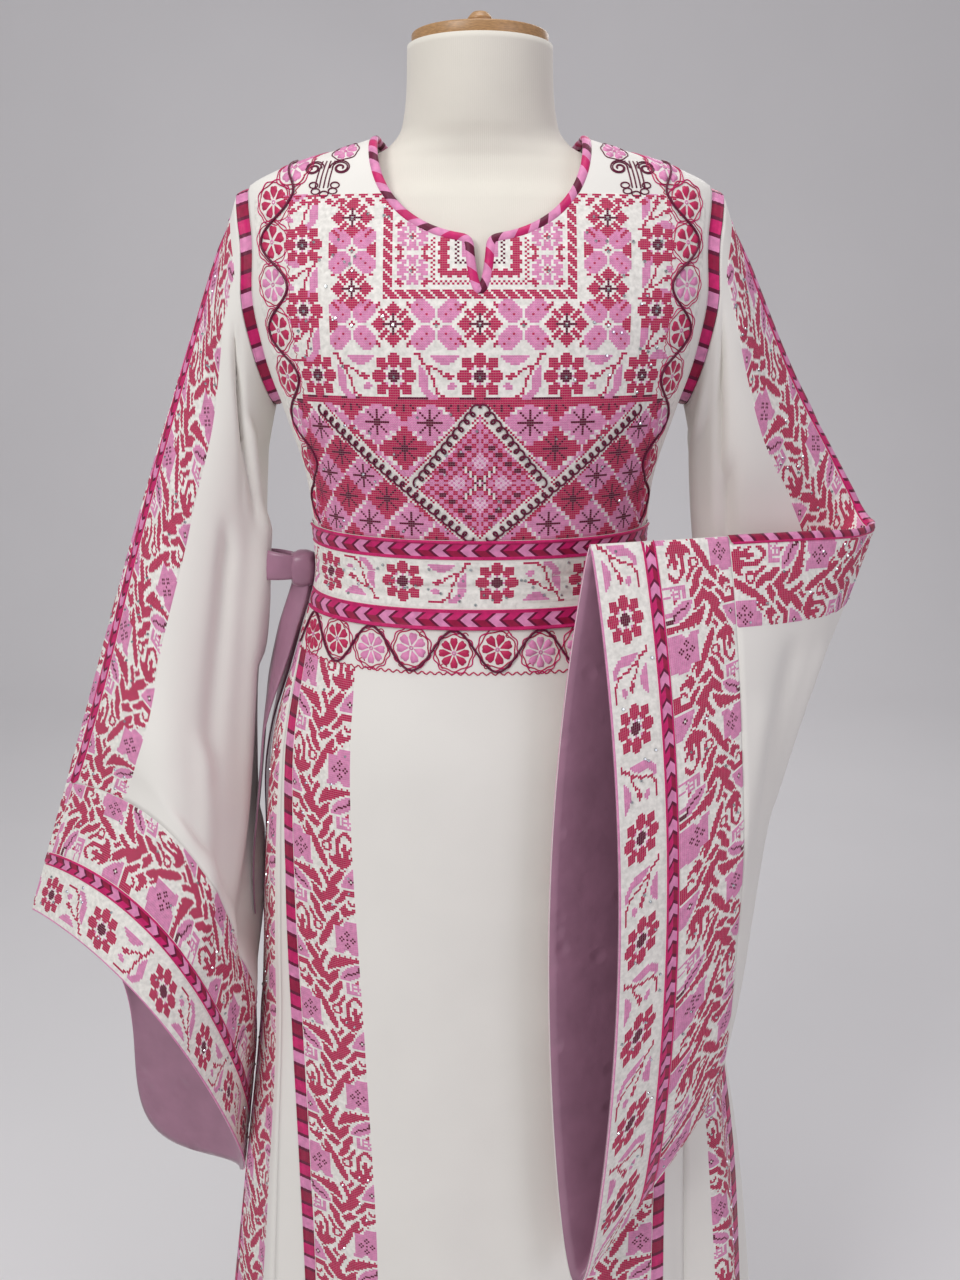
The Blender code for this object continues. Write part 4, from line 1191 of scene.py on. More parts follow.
def finish(name):
    """Each finish is made once, when a piece first asks for it."""
    makers = {"crepe": crepe_finish, "cotton": cross_stitch_finish, "rayon": satin_stitch_finish,
              "satin": satin_finish, "jersey": jersey_finish, "glass": glass_finish,
              "steel": steel_finish, "beech": beech_finish}
    if name not in FINISHES:
        FINISHES[name] = makers[name]()
    return FINISHES[name]


# ---------------------------------------------------------------- the body's pieces
def strip_in(z):
    return smooth(STRIP_IN_Z, STRIP_IN_ROUND, z)


def side_in(z):
    return smooth(STRIP_IN_Z, SIDE_IN_ROUND, z)


def seam_run(z, side):
    """How far round the side seam lies: amid the skirt's gore, and under the arm higher up."""
    low = np.minimum(z, WAIST_Z)
    gore = (strip_in(low) + STRIP + BARS + side_in(low)) / 2
    share = np.clip((z - WAIST_Z) / (ARM_MID_Z - ARM_HALF_Z - WAIST_Z), 0, 1)
    return gore + (front_run(z, side) - gore) * share


def back_reach(z, side):
    """How far round from the back middle the side seam lies."""
    return whole_run(z, side) - seam_run(z, side)


def panel_way(heights, edge, back, columns):
    """The way round and the height of each point of a front or back panel."""
    share = np.linspace(-1, 1, columns)
    side = np.where(share < 0, -1, 1)
    left, right = (np.atleast_1d(edge(heights, k))[:, None] - GAP / 2 for k in (-1, 1))
    way = np.abs(share) * np.where(side < 0, left, right)
    if back:
        whole = np.where(side < 0, whole_run(heights, -1)[:, None], whole_run(heights, 1)[:, None])
        way = (whole - way)[:, ::-1]
        side = side[::-1]
    return way * side, heights[:, None]


def body_shell(name, heights, edge, back, columns):
    """A front or back wall of crepe; edge(z, side) is how far it reaches round."""
    s, z = panel_way(heights, edge, back, columns)
    return shell(name, on_body(s, z, 0.0), on_body(s, z, CLOTH), False, finish("crepe"))


BAR_PITCH = 0.0138        # from one bar of a skirt trim to the next


def skirt_strip(end, label, side, sparkle, rng):
    """One upright strip of scrollwork with the barred trim along its outer edge."""
    inner, top = (strip_in, SCALLOP_Z) if end == "front" else (side_in, BELT_LOW)
    rows, count = int((top - HEM_Z) / STITCH), round(STRIP / STITCH)

    def place(row, column, lift):
        z = HEM_Z + 0.001 + np.asarray(row) * STITCH
        return on_body(side * (inner(z) + np.asarray(column) * STRIP / count), z, lift)

    def beside(u, v, lift):
        z = HEM_Z + u
        return on_body(side * (inner(z) + STRIP + BARS / 2 + np.asarray(v)), z, lift)

    chart = vine_chart(rows, count, {"front": 0, "back": 21}[end] + (42 if side > 0 else 0))[::-1]
    piece = stitched(f"vine_strip_{end}_{label}", chart, place, CLOTH + GAP, f"{end}_strip_{label}")
    trim = Sewn()
    blocks(trim, beside, top - HEM_Z, BARS / 2, BAR_PITCH, barred(0.22, PINK, FUCHSIA, DEEP), 0.0, 0.0015)
    r, c = rng.uniform(4, rows - 4, 42), rng.uniform(2, count - 2, 42)
    sparkle.append(seats(place, r, c))
    return [piece, trim.piece(f"barred_trim_{end}_{label}", f"{end}_bars_{label}")]


def make_skirt():
    heights = np.linspace(HEM_Z, WAIST_Z - GAP / 2, 115)
    panels = {"front": body_shell("skirt_front_crepe", heights, seam_run, False, 90),
              "back": body_shell("skirt_back_crepe", heights, back_reach, True, 118)}
    rng = np.random.default_rng(11)
    for end, panel in panels.items():
        sparkle, pieces = [], []
        for label, side in (("left", -1), ("right", 1)):
            pieces += skirt_strip(end, label, side, sparkle, rng)
        pieces.append(stones(sparkle, f"stones_skirt_{end}"))
        if end == "front":
            pieces.append(make_hip_band())
        stands_for(panel, CREPE_SLOT, f"skirt_{end}")


HIP_PITCH, HIP_FIRST = 0.035, -0.021      # from one flower to the next, and the middle one's place
HIP_FLOWER, ARM_FLOWER = 0.0128, 0.0131   # radius of a flower
OUTLINE = 0.0010                          # radius of the cord that winds past the flowers


def make_hip_band():
    """Satin flowers along a wave, between the belt and the skirt's plain front."""
    sewn = Sewn()
    middle = (SCALLOP_Z + BELT_LOW) / 2
    low, high = -seam_run(middle, -1) + 0.006, seam_run(middle, 1) - 0.006
    for k in range(-5, 7):
        s = HIP_FIRST + HIP_PITCH * k
        if low < s < high:
            petals(sewn, on_body, s, middle + (0.0015 if k % 2 else -0.0015), HIP_FLOWER, 8 - k % 2,
                   PINK if (k // 2) % 2 else CRIMSON, 0.4 * k)
    s = np.linspace(low - 0.010, high + 0.010, 260)
    wave = middle + 0.0165 * np.cos(np.pi * (s - HIP_FIRST) / HIP_PITCH)
    cord(sewn, on_body, s, wave, OUTLINE, BURGUNDY, lift=CLOTH + 0.0012)
    cord(sewn, on_body, s, SCALLOP_Z - 0.0005 + 0.0012 * np.sin(s * 900), 0.0006, CRIMSON, sides=4)
    turn = np.linspace(0, 1.6 * np.pi, 14)
    reach = 0.0028 * (1 - turn / 9)
    for k in range(-9, 11):
        curl = HIP_FIRST + HIP_PITCH * (k / 2 + 0.25)
        if low < curl < high:
            z = middle + (-0.0125 if k % 2 else 0.0125) + reach * np.sin(turn)
            cord(sewn, on_body, curl + reach * np.cos(turn), z, 0.00045, CRIMSON, sides=4)
    return sewn.piece("hip_flowers", "hip_band")


def bodice_heights():
    """Rows close together where the armhole curves and where the shoulder lies flat."""
    z = np.linspace(WAIST_Z + GAP / 2, 1.4185, 1200)
    wide, deep = body_size(z, "left"), body_size(z, "front")
    bend = 1.2 / np.sqrt(np.maximum(1 - np.clip((z - ARM_MID_Z) / ARM_HALF_Z, -1, 1) ** 2, 0.01))
    run = running(np.stack((wide, deep, z * 1.0), axis=1)) + running(
        np.stack((np.cumsum(bend) * 0.0003 * 0.5, 0 * z, 0 * z), axis=1))
    return np.interp(np.linspace(0, run[-1], 105), run, z)


def bodice_reach(back):
    def reach(z, side):
        free = np.abs(z - ARM_MID_Z) >= ARM_HALF_Z
        plain = back_reach(z, side) if back else seam_run(z, side)
        return np.where(free, plain, armhole_run(z, side, back))
    return reach


def in_neck(x, z, grow):
    """Whether a point of the front lies inside the neck opening, grown by a margin."""
    half, low = NECK_HALF + grow, NECK_LOW_Z - grow
    share = np.clip(np.abs(x) / half, 0, 1)
    edge = SHOULDER_Z - (SHOULDER_Z - low) * (1 - share ** 2) ** 0.4
    deep = SLIT_Z - grow
    width = np.interp(z, (deep, deep + 0.004, low), (0, (SLIT_HALF + grow) * 0.45, SLIT_HALF + grow))
    return ((np.abs(x) < half) & (z > edge)) | ((np.abs(x) < width) & (z > deep))


def neck_line(grow, back):
    """The edge of the neck opening in x and z, from the left shoulder to the right one."""
    half = NECK_HALF + grow
    if back:
        turn = np.linspace(np.pi, 2 * np.pi, 41)
        return half * np.cos(turn), SHOULDER_Z + (SHOULDER_Z - NECK_BACK_Z + grow) * np.sin(turn)
    low = NECK_LOW_Z - grow
    width = SLIT_HALF + grow
    last = math.asin((width + 0.004) / half)
    turn = np.linspace(np.pi / 2, last, 40)
    x = half * np.sin(turn)
    z = SHOULDER_Z - (SHOULDER_Z - low) * np.cos(turn) ** 0.8
    corner = np.array(((width + 0.0012, low + 0.0002), (width, low - 0.003)))
    side = np.linspace(0, 1, 9)[1:]
    down = SLIT_Z - grow - low + 0.003
    slit_x = width * np.sqrt(np.maximum(0, 1 - side ** 2.2)) * (1 - 0.25 * side)
    slit_z = low - 0.003 + down * side
    x = np.concatenate((x, corner[:, 0], slit_x))
    z = np.concatenate((z, corner[:, 1], slit_z))
    return np.concatenate((-x, x[-2::-1])), np.concatenate((z, z[-2::-1]))


def round_of(x, z, back=False):
    """The way round from the front middle, for a point of the front or back given by its x."""
    out = []
    for px, pz in zip(x, z):
        wide = float(body_size(pz, "right" if px > 0 else "left"))
        turn = math.asin(min(1.0, abs(px) / wide) ** (SECTION_POWER / 2))
        side = 1 if px > 0 else -1
        turns = np.linspace(0, np.pi / 2, 91)
        run = running(section(np.full(91, pz), side * (np.pi - turns if back else turns)))
        way = float(np.interp(turn, turns, run))
        out.append(side * (float(whole_run(pz, side)) - way) if back else side * way)
    return np.array(out)


def cut_neck(piece, grow, back):
    """Cuts the neck opening out of a bodice panel with a prism along y."""
    x, z = neck_line(grow, back)
    x, z = np.concatenate((x[:1], x, x[-1:])), np.concatenate(([1.46], z, [1.46]))
    near, far = (0.0, 0.30) if back else (-0.30, 0.0)
    count = len(x)
    points = [(a, near, b) for a, b in zip(x, z)] + [(a, far, b) for a, b in zip(x, z)]
    faces = [tuple(range(count)), tuple(range(2 * count - 1, count - 1, -1))]
    faces += [(k, k + count, (k + 1) % count + count, (k + 1) % count) for k in range(count)]
    mesh = bpy.data.meshes.new("neck_cutter")
    mesh.from_pydata(points, [], faces)
    cutter = linked("neck_cutter", mesh)
    select_only(cutter)
    bpy.ops.object.mode_set(mode="EDIT")
    bpy.ops.mesh.select_all(action="SELECT")
    bpy.ops.mesh.normals_make_consistent(inside=False)
    bpy.ops.object.mode_set(mode="OBJECT")
    step = piece.modifiers.new("Neck", "BOOLEAN")
    step.object, step.operation, step.solver = cutter, "DIFFERENCE", "EXACT"
    select_only(piece)
    bpy.ops.object.modifier_apply(modifier=step.name)
    bpy.data.objects.remove(cutter)


def select_only(piece):
    bpy.ops.object.select_all(action="DESELECT")
    piece.select_set(True)
    bpy.context.view_layer.objects.active = piece


CHEST_TOP_Z = 1.369       # above it the shoulders are bare crepe


def chest_height(row):
    """The height of a row of chest stitches: rows are a stitch apart along the front middle."""
    z = np.linspace(BELT_TOP, 1.405, 400)
    run = running(np.stack((body_size(z, "front"), 0 * z, z), axis=1))
    return np.interp(np.asarray(row) * STITCH, run, z)


def chest_place(row, column, lift):
    return on_body((np.asarray(column) - CHEST_HALF - 0.5) * STITCH, chest_height(row), lift)


def make_chest():
    chart = chest_chart()
    r, c = np.mgrid[0:CHEST_ROWS, 0:2 * CHEST_HALF + 1]
    points = chest_place(r + 0.5, c + 0.5, 0.0)
    z = points[..., 2]
    s = (c - CHEST_HALF) * STITCH
    heights = chest_height(np.arange(CHEST_ROWS) + 0.5)
    reach = bodice_reach(False)
    edge = np.where(s < 0, reach(heights, -1)[:, None], reach(heights, 1)[:, None])
    chart[np.abs(s) > edge - 0.0030] = MISSING
    chart[in_neck(points[..., 0], z, BINDING * 0.62)] = MISSING
    chart[z > CHEST_TOP_Z] = MISSING
    return stitched("chest_stitching", chart, chest_place, CLOTH + GAP * 0.8)


LOOP_PITCH, LOOP_RADIUS = 3.8, 1.55       # in stitches


def loops_between(sewn, start, stop, side):
    """A line that curls into a loop again and again, from one (column, row) to another."""
    start, stop = np.array(start, float), np.array(stop, float)
    length = np.hypot(*(stop - start))
    ahead = (stop - start) / length
    aside = np.array((-ahead[1], ahead[0]))
    turns = int(length / LOOP_PITCH)
    t = np.linspace(0, turns * 2 * np.pi, turns * 12)
    along = t / (2 * np.pi) * length / turns - LOOP_RADIUS * np.sin(t)
    away = -LOOP_RADIUS * np.cos(t)
    column = start[0] + ahead[0] * along + aside[0] * away
    row = start[1] + ahead[1] * along + aside[1] * away
    cord(sewn, lambda u, v, lift: on_body(u * STITCH, chest_height(v), lift), side * column, row,
         0.00085, BURGUNDY, lift=CLOTH + 0.0009)


# height, and way round from the front middle, of each flower beside the armhole
ARM_FLOWERS = ((1.386, 0.150), (1.359, 0.1655), (1.329, 0.168), (1.297, 0.1685), (1.263, 0.168),
               (1.228, 0.166), (1.192, 0.162), (1.158, 0.160), (1.124, 0.157))


def make_chest_cords():
    """What is sewn free-hand: the armhole borders, looped lines and shoulder ornaments."""
    sewn = Sewn()
    for side in (-1, 1):
        loops_between(sewn, (73, 57.5), (4, 0.5), side)
        loops_between(sewn, (1, 59.5), (28, 25.5), side)
        for k, (z, s) in enumerate(ARM_FLOWERS):
            petals(sewn, on_body, side * s, z, ARM_FLOWER, 6 + k % 2, CRIMSON if k % 3 else PINK, 0.7 * k)
        z = np.linspace(1.392, 1.108, 150)
        middle = np.interp(z, *zip(*ARM_FLOWERS[::-1]))
        sway = 0.0135 * np.cos((z - 1.329) / 0.0335 * np.pi)
        cord(sewn, on_body, side * (middle + sway - 0.002), z, OUTLINE, BURGUNDY, lift=CLOTH + 0.0012)
        cord(sewn, on_body, side * (middle - 0.0165 + 0.0012 * np.sin(z * 1200)), z, 0.0005, CRIMSON,
             sides=4)
        shoulder_ornament(sewn, side)
    return sewn.piece("bodice_cords")


def shoulder_ornament(sewn, side):
    """A pink flower over two scrolls and a foot of three rings, outlined in burgundy."""
    def place(u, v, lift):
        z = 1.3800 + np.asarray(v) * 0.74
        return on_body(side * (0.1185 - np.asarray(u) * 1.18), z, lift)

    petals(sewn, place, 0.0090, 0.0230, 0.0090, 6, PINK, 0.3, ((1.10, 1.0, 0.05, BURGUNDY),))
    turn = np.linspace(0, 3.2 * np.pi, 40)
    for way in (-1, 1):
        for grow in (1.0, 1.28):
            reach = 0.0068 * grow * (1 - turn / (3.9 * np.pi))
            cord(sewn, place, way * (0.0098 - reach * np.cos(turn) * 0.9) - 0.001,
                 0.0045 + reach * np.sin(turn), 0.0006, BURGUNDY)
    rise = np.linspace(-0.016, 0.012, 12)
    for shift in (-0.0045, -0.0015, 0.0015, 0.0045):
        cord(sewn, place, shift + 0.12 * rise - 0.002, rise, 0.0006, BURGUNDY)
    ring = np.linspace(0, 2 * np.pi, 14, endpoint=False)
    for u, v in ((-0.0095, -0.0130), (-0.0080, -0.0195), (-0.0020, -0.0225), (0.0040, -0.0195),
                 (0.0055, -0.0135)):
        cord(sewn, place, u + 0.0030 * np.cos(ring), v + 0.0030 * np.sin(ring), 0.0006, BURGUNDY,
             closed=True)


BINDING_SLANT = 0.0035    # how far a block's edge leans along the neck
BINDING_HIGH = 0.0021
# where each block ends, and its thread
BINDING_BLOCKS = ((0.0085, BURGUNDY), (0.0210, PINK), (0.0330, FUCHSIA), (0.0420, PINK))


def make_binding():
    """The neck's edge: a round padded binding in slanting satin blocks."""
    front_x, front_z = neck_line(BINDING / 2, False)
    back_x, back_z = neck_line(BINDING / 2, True)
    back_x, back_z = back_x[::-1], back_z[::-1]
    highest = np.interp(np.abs(np.concatenate((front_x, back_x))),
                        body_size(np.linspace(1.42, 1.372, 60), "left"), np.linspace(1.42, 1.372, 60))
    front_z = np.minimum(front_z, highest[:len(front_x)] - 0.0008)
    back_z = np.minimum(back_z, highest[len(front_x):] - 0.0008)
    s = np.concatenate((round_of(front_x, front_z), round_of(back_x, back_z, True)[1:-1]))
    z = np.concatenate((front_z, back_z[1:-1]))
    base, above = on_body(s, z, CLOTH / 2), on_body(s, z, CLOTH / 2 + 0.004)
    run = running(np.concatenate((base, base[:1])))

    def read(places, at, rows):
        return np.stack([np.interp(places, at, rows[:, k], period=run[-1]) for k in range(3)], axis=-1)

    at = np.linspace(0, run[-1], 330, endpoint=False)
    centre = read(at, run[:-1], base)
    up = read(at, run[:-1], above) - centre
    for _ in range(3):
        centre, up = (rows * 0.5 + (np.roll(rows, 1, axis=0) + np.roll(rows, -1, axis=0)) * 0.25
                      for rows in (centre, up))
    up = unit(up)
    beside = unit(np.cross(up, np.roll(centre, -1, axis=0) - np.roll(centre, 1, axis=0)))
    sides = 12
    turn = np.linspace(0, 2 * np.pi, sides, endpoint=False)
    along = at[:, None] + BINDING_SLANT * np.cos(turn)
    sideways = np.cos(turn)[:, None] * read(along, at, beside)
    outward = np.sin(turn)[:, None] * read(along, at, up)
    ring = read(along, at, centre) + sideways * BINDING / 2 + outward * BINDING_HIGH
    repeat = run[-1] / round(run[-1] / BINDING_BLOCKS[-1][0])
    starts = at % repeat * BINDING_BLOCKS[-1][0] / repeat
    threads = np.repeat([next(thread for stop, thread in BINDING_BLOCKS if start < stop)
                         for start in starts], sides)
    count = len(ring)
    faces = net(count + 1, sides, True) % (count * sides)
    faces = turned_out(ring.reshape(-1, 3), faces, (sideways + outward).reshape(-1, 3))
    sewn = Sewn()
    uv = np.stack(np.broadcast_arrays(at[:, None], np.arange(sides) * 0.001), axis=-1)
    sewn.add(ring, faces.tolist(), threads, uv)
    return sewn.piece("neck_binding", "neck_binding_front", "neck_binding_back")


def make_bodice():
    heights = bodice_heights()
    front = body_shell("bodice_front_crepe", heights, bodice_reach(False), False, 111)
    back = body_shell("bodice_back_crepe", heights, bodice_reach(True), True, 111)
    cut_neck(front, BINDING * 0.5, False)
    cut_neck(back, BINDING * 0.5, True)
    for piece, node in ((front, "bodice_front"), (back, "bodice_back")):
        stands_for(piece, CREPE_SLOT, node)
    chest, cords, binding = make_chest(), make_chest_cords(), make_binding()
    rng = np.random.default_rng(5)
    rows = [GARLAND_ROW] * 5 + [MOTIF_ROW] * 7
    columns = [36 * k for k in range(-2, 3)] + [18 * k for k in range(-3, 4)]
    for side in (-1, 1):
        rows += [107, 124, 139, 98, 127, 115, 130]
        columns += [side * k for k in (54, 54, 54, 77, 77, 28.5, 28.5)]
    row = np.concatenate((rows, rng.uniform(3, 56, 34), rng.uniform(63, 145, 46)))
    column = np.concatenate((columns, rng.uniform(-76, 76, 34), rng.uniform(38, 84, 46)
                             * rng.choice((-1, 1), 46))) + CHEST_HALF + 0.5
    gems = stones([seats(chest_place, row, column)], "stones_chest")


# ---------------------------------------------------------------- belt and ties
BELT_CREASES = (
    Crease(-0.170, 1.060, -0.020, 1.052, .0016, .0020), Crease(-0.120, 1.074, 0.060, 1.078, .0014, .0018),
    Crease(-0.060, 1.063, 0.110, 1.066, .0017, .0020), Crease(0.010, 1.055, 0.150, 1.058, .0014, .0019),
    Crease(-0.165, 1.072, -0.090, 1.068, .0014, .0018), Crease(0.060, 1.073, 0.165, 1.069, .0016, .0020),
    Crease(-0.030, 1.083, 0.070, 1.082, -.0010, .0018), Crease(-0.140, 1.050, -0.060, 1.049, -.0009, .0018),
    Crease(-0.100, 1.0665, 0.020, 1.0705, -.0012, .0017), Crease(0.030, 1.0505, 0.120, 1.050, .0012, .0016),
    Crease(-0.260, 1.070, -0.330, 1.048, .0015, .0030), Crease(0.260, 1.070, 0.340, 1.052, .0015, .0030),
    Crease(-0.250, 1.090, -0.320, 1.082, -.0010, .0030), Crease(0.250, 1.088, 0.330, 1.080, -.0010, .0030),
)
BELT_IN, BELT_OUT = CLOTH + 2 * GAP, CLOTH + 2 * GAP + BELT
BELT_ROSE_PITCH = 41.7    # in stitches


def on_belt(s, z, lift=0.0):
    """Places on the belt: lift is counted as on the cloth, so trims sit on the belt's own face."""
    return on_body(s, z, np.asarray(lift) + BELT_OUT - 2 * CLOTH + creased(s, z, BELT_CREASES))


def belt_shell(name, back, stuff):
    s, z = panel_way(np.linspace(BELT_LOW, BELT_TOP, 25), back_reach if back else seam_run, back, 121)
    z = np.broadcast_to(z, s.shape)
    outer = on_body(s, z, BELT_OUT - CLOTH + creased(s, z, BELT_CREASES))
    return shell(name, on_body(s, z, BELT_IN), outer, False, stuff)


def make_belt():
    front = belt_shell("belt_front_crepe", False, finish("crepe"))
    back = belt_shell("belt_back_satin", True, finish("satin"))
    stands_for(back, SATIN_SLOT, "belt_back")
    stands_for(front, CREPE_SLOT)
    rows = round((BELT_TOP_IN - BELT_LOW_IN) / STITCH)
    half = int(seam_run(WAIST_Z, 1) / STITCH) - 1
    chart = garland_chart(rows, 2 * half, BELT_ROSE_PITCH, half + 7 - BELT_ROSE_PITCH * 3)

    def place(row, column, lift):
        return on_belt((np.asarray(column) - half) * STITCH, BELT_LOW_IN + np.asarray(row) * STITCH, lift)

    pieces = [stitched("belt_rose_stitching", chart, place, CLOTH + 0.0001, "belt_roses")]
    reach = seam_run(WAIST_Z, 1) - 0.002
    for name, low, high, node in (("belt_arrows_low", BELT_LOW, BELT_LOW_IN, "belt_chevron_low"),
                                  ("belt_arrows_top", BELT_TOP_IN, BELT_TOP, "belt_chevron_top")):
        def along(u, v, lift, low=low, high=high):
            return on_belt(reach - np.asarray(u), (low + high) / 2 + np.asarray(v), lift)

        trim = Sewn()
        blocks(trim, along, 2 * reach, (high - low) / 2, ARROW, ARROWS, ARROW_SLANT, 0.0013)
        pieces.append(trim.piece(name, node))
    piping = Sewn()
    s = np.linspace(-reach, reach, 160)
    for z, radius in ((BELT_TOP - 0.0006, 0.0013), (BELT_TOP_IN + 0.0004, 0.0008),
                      (BELT_LOW_IN - 0.0004, 0.0008), (BELT_LOW + 0.0006, 0.0013)):
        cord(piping, on_belt, s, np.full(160, z), radius, FUCHSIA)
    pieces.append(piping.piece("belt_piping"))
    rng = np.random.default_rng(8)
    row, column = rng.uniform(2, rows - 2, 40), rng.uniform(half - 90, half + 90, 40)
    pieces.append(stones([seats(place, row, column, 0.0003)], "stones_belt"))


def ribbon(name, route, width_way, width, cup):
    """A strip of satin along a route; cup rolls its edges a little."""
    along = np.gradient(route, axis=0)
    across = np.broadcast_to(np.asarray(width_way, float), route.shape)
    face = unit(np.cross(across, along))
    share = np.linspace(-1, 1, 9)
    thick = 0.0012
    grids = []
    for lift in (thick / 2, -thick / 2):
        bow = (cup * np.cos(share * np.pi / 2))[None, :, None] + lift
        grids.append(route[:, None] + across[:, None] * share[None, :, None] * width[:, None, None] / 2
                     + face[:, None] * bow)
    return shell(name, grids[1], grids[0], False, finish("satin"))


def make_ties():
    """The satin tie at the left side: a knot, one loop drawn out sideways and two tails."""
    knot_x, knot_y, knot_z = -0.1565, -0.010, 1.059
    turn = np.linspace(0.12, 2 * np.pi - 0.12, 48)
    loop = np.stack((knot_x + 0.003 - 0.0185 * (1 - np.cos(turn)), knot_y - 0.0085 * np.sin(turn) - 0.001,
                     knot_z + 0.004 * np.sin(turn / 2)), axis=1)
    bow = ribbon("tie_bow_loop", loop, (0.10, 0, 0.995), 0.011 + 0.016 * np.sin(turn / 2) ** 0.8, 0.0012)
    pieces = {"tie_loop": bow}
    for name, low, turn, folds in (("tie_tail_long", 0.440, -1.72, 2.3),
                                   ("tie_tail_short", 0.730, -1.50, 1.6)):
        z = np.linspace(knot_z - 0.010, low, 70)
        line = section(z, np.full(70, turn))
        away = line * (1, 1, 0) / np.linalg.norm(line[:, :2], axis=1)[:, None]
        fall = (knot_z - z) / 0.3
        stand = 0.0145 - 0.005 * np.clip(fall * 2, 0, 1)
        route = line + away * (stand + 0.0030 * np.sin(fall * 3.1 * folds) ** 2)[:, None]
        facing = np.clip(1.2 - 2.2 * fall, 0.12, 1)[:, None]
        edge_on, face_on = np.array((-math.cos(turn) * 0.3, 1.0, 0.0)), np.array((-0.80, 0.60, 0.0))
        across = unit(edge_on * (1 - facing) + face_on * facing)
        width = TIE * (0.55 + 0.45 * np.clip(fall * 3, 0, 1))
        pieces[name] = ribbon(name + "_satin", route, across, width, 0.0016)
    for node, piece in pieces.items():
        stands_for(piece, SATIN_SLOT, node)
    knot = make_knot(Vector((knot_x, knot_y, knot_z)))


def make_knot(middle):
    """A pinched satin knot: a cube, subdivided and drawn in along its wrapped turn."""
    bpy.ops.object.select_all(action="DESELECT")
    bpy.ops.mesh.primitive_cube_add(size=1, location=middle)
    knot = bpy.context.object
    knot.name = knot.data.name = "tie_knot_satin"
    bpy.ops.transform.resize(value=(0.0165, 0.0265, 0.0265))
    bpy.ops.object.transform_apply(location=True, rotation=True, scale=True)
    bpy.ops.object.mode_set(mode="EDIT")
    bpy.ops.mesh.select_all(action="SELECT")
    bpy.ops.mesh.subdivide(number_cuts=6, smoothness=0.6)
    bpy.ops.object.mode_set(mode="OBJECT")
    for point in knot.data.vertices:
        away = point.co - middle
        furrow = 0.0011 * math.sin(away.z * 900 + away.x * 500) * (1 - abs(away.y) / 0.02)
        point.co = middle + away * (0.93 - 0.10 * (abs(away.y) / 0.013) ** 2)
        point.co.x -= furrow
    knot.data.materials.append(finish("satin"))
    knot.data.shade_smooth()
    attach(knot, "root")
    return stands_for(knot, SATIN_SLOT, "tie_knot")


# ---------------------------------------------------------------- sleeves
def sleeve_shell(name, side, start, stop, rows, columns, inner, outer, stuff):
    key = np.linspace(start, stop, rows)[:, None]
    share = np.arange(columns) / columns
    around = share[None, :] * ring_length(side, key)
    points = [on_sleeve(side, around, key, lift) for lift in (inner, outer)]
    return shell(name, points[0], points[1], True, stuff)


def make_sleeve_pieces(side):
    seam = SEAM[side]
    crepe = sleeve_shell(f"sleeve_{side}_crepe", side, -1 + 0.01, seam - 0.001, 84, 100, 0, CLOTH,
                         finish("crepe"))
    cuff = sleeve_shell(f"cuff_{side}_crepe", side, seam + 0.001, seam + 1, 22, 150, 0, CLOTH,
                        finish("crepe"))
    lining = sleeve_shell(f"cuff_{side}_satin_lining", side, seam, seam + 1 - 0.002, 22, 150,
                          -GAP - TRIM, -GAP, finish("satin"))
    stands_for(crepe, CREPE_SLOT, f"sleeve_{side}")
    stands_for(cuff, CREPE_SLOT, f"cuff_{side}")
    stands_for(lining, SATIN_SLOT, f"cuff_lining_{side}")
    on_arm, sparkle = [], []
    rng = np.random.default_rng(21 if side == "left" else 22)
    count = round(STRIP / STITCH)
    for label, way in (("front", 1), ("rear", -1)):
        middle = way * (CHEVRON + STRIP) / 2
        keys, _ = sleeve_keys(side, middle, BAND_START, seam - 0.004, STITCH)

        def place(row, column, lift, way=way, keys=keys):
            key = np.interp(row, np.arange(len(keys)), keys)
            return on_sleeve(side, way * (CHEVRON / 2 + np.asarray(column) * STRIP / count), key, lift)

        chart = vine_chart(len(keys) - 1, count, 20)
        if way < 0:
            chart = chart[:, ::-1]
        on_arm.append(stitched(f"vine_band_{label}_{side}", chart, place, CLOTH + GAP,
                               f"sleeve_band_{label}_{side}"))
        r, c = rng.uniform(3, len(keys) - 3, 34), rng.uniform(2, count - 2, 34)
        sparkle.append(seats(place, r, c))
    keys, length = sleeve_keys(side, 0.0, -1 + 0.02, seam - 0.004, 0.002)

    def down_arm(u, v, lift):
        key = np.interp(u, np.linspace(0, length, len(keys)), keys)
        return on_sleeve(side, v, key, lift)

    arrows = Sewn()
    blocks(arrows, down_arm, length, CHEVRON / 2, ARROW, ARROWS, ARROW_SLANT, 0.0018)
    on_arm += [arrows.piece(f"arrow_cord_{side}", f"sleeve_band_chevron_{side}"), armhole_trim(side)]
    on_cuff = cuff_stitching(side, seam, sparkle, rng)
    on_arm.append(stones(sparkle, f"stones_sleeve_{side}"))


ARM_BAR_PITCH = 0.0142    # from one bar of the armhole's trim to the next


def armhole_trim(side):
    """Satin blocks round the armhole, over the seam."""
    def place(u, v, lift):
        key = -1.5 + np.asarray(v) / ARM_TRIM
        return on_sleeve(side, np.asarray(u) / loop_length * ring_length(side, key), key, lift)

    loop_length = ring_length(side, -1.5)
    sewn = Sewn()
    blocks(sewn, place, loop_length, ARM_TRIM / 2 * 0.98, ARM_BAR_PITCH,
           barred(0.22, FUCHSIA, PINK, DEEP), 0.0, 0.0016, closed=True)
    return sewn.piece(f"armhole_blocks_{side}", f"armhole_trim_{side}")


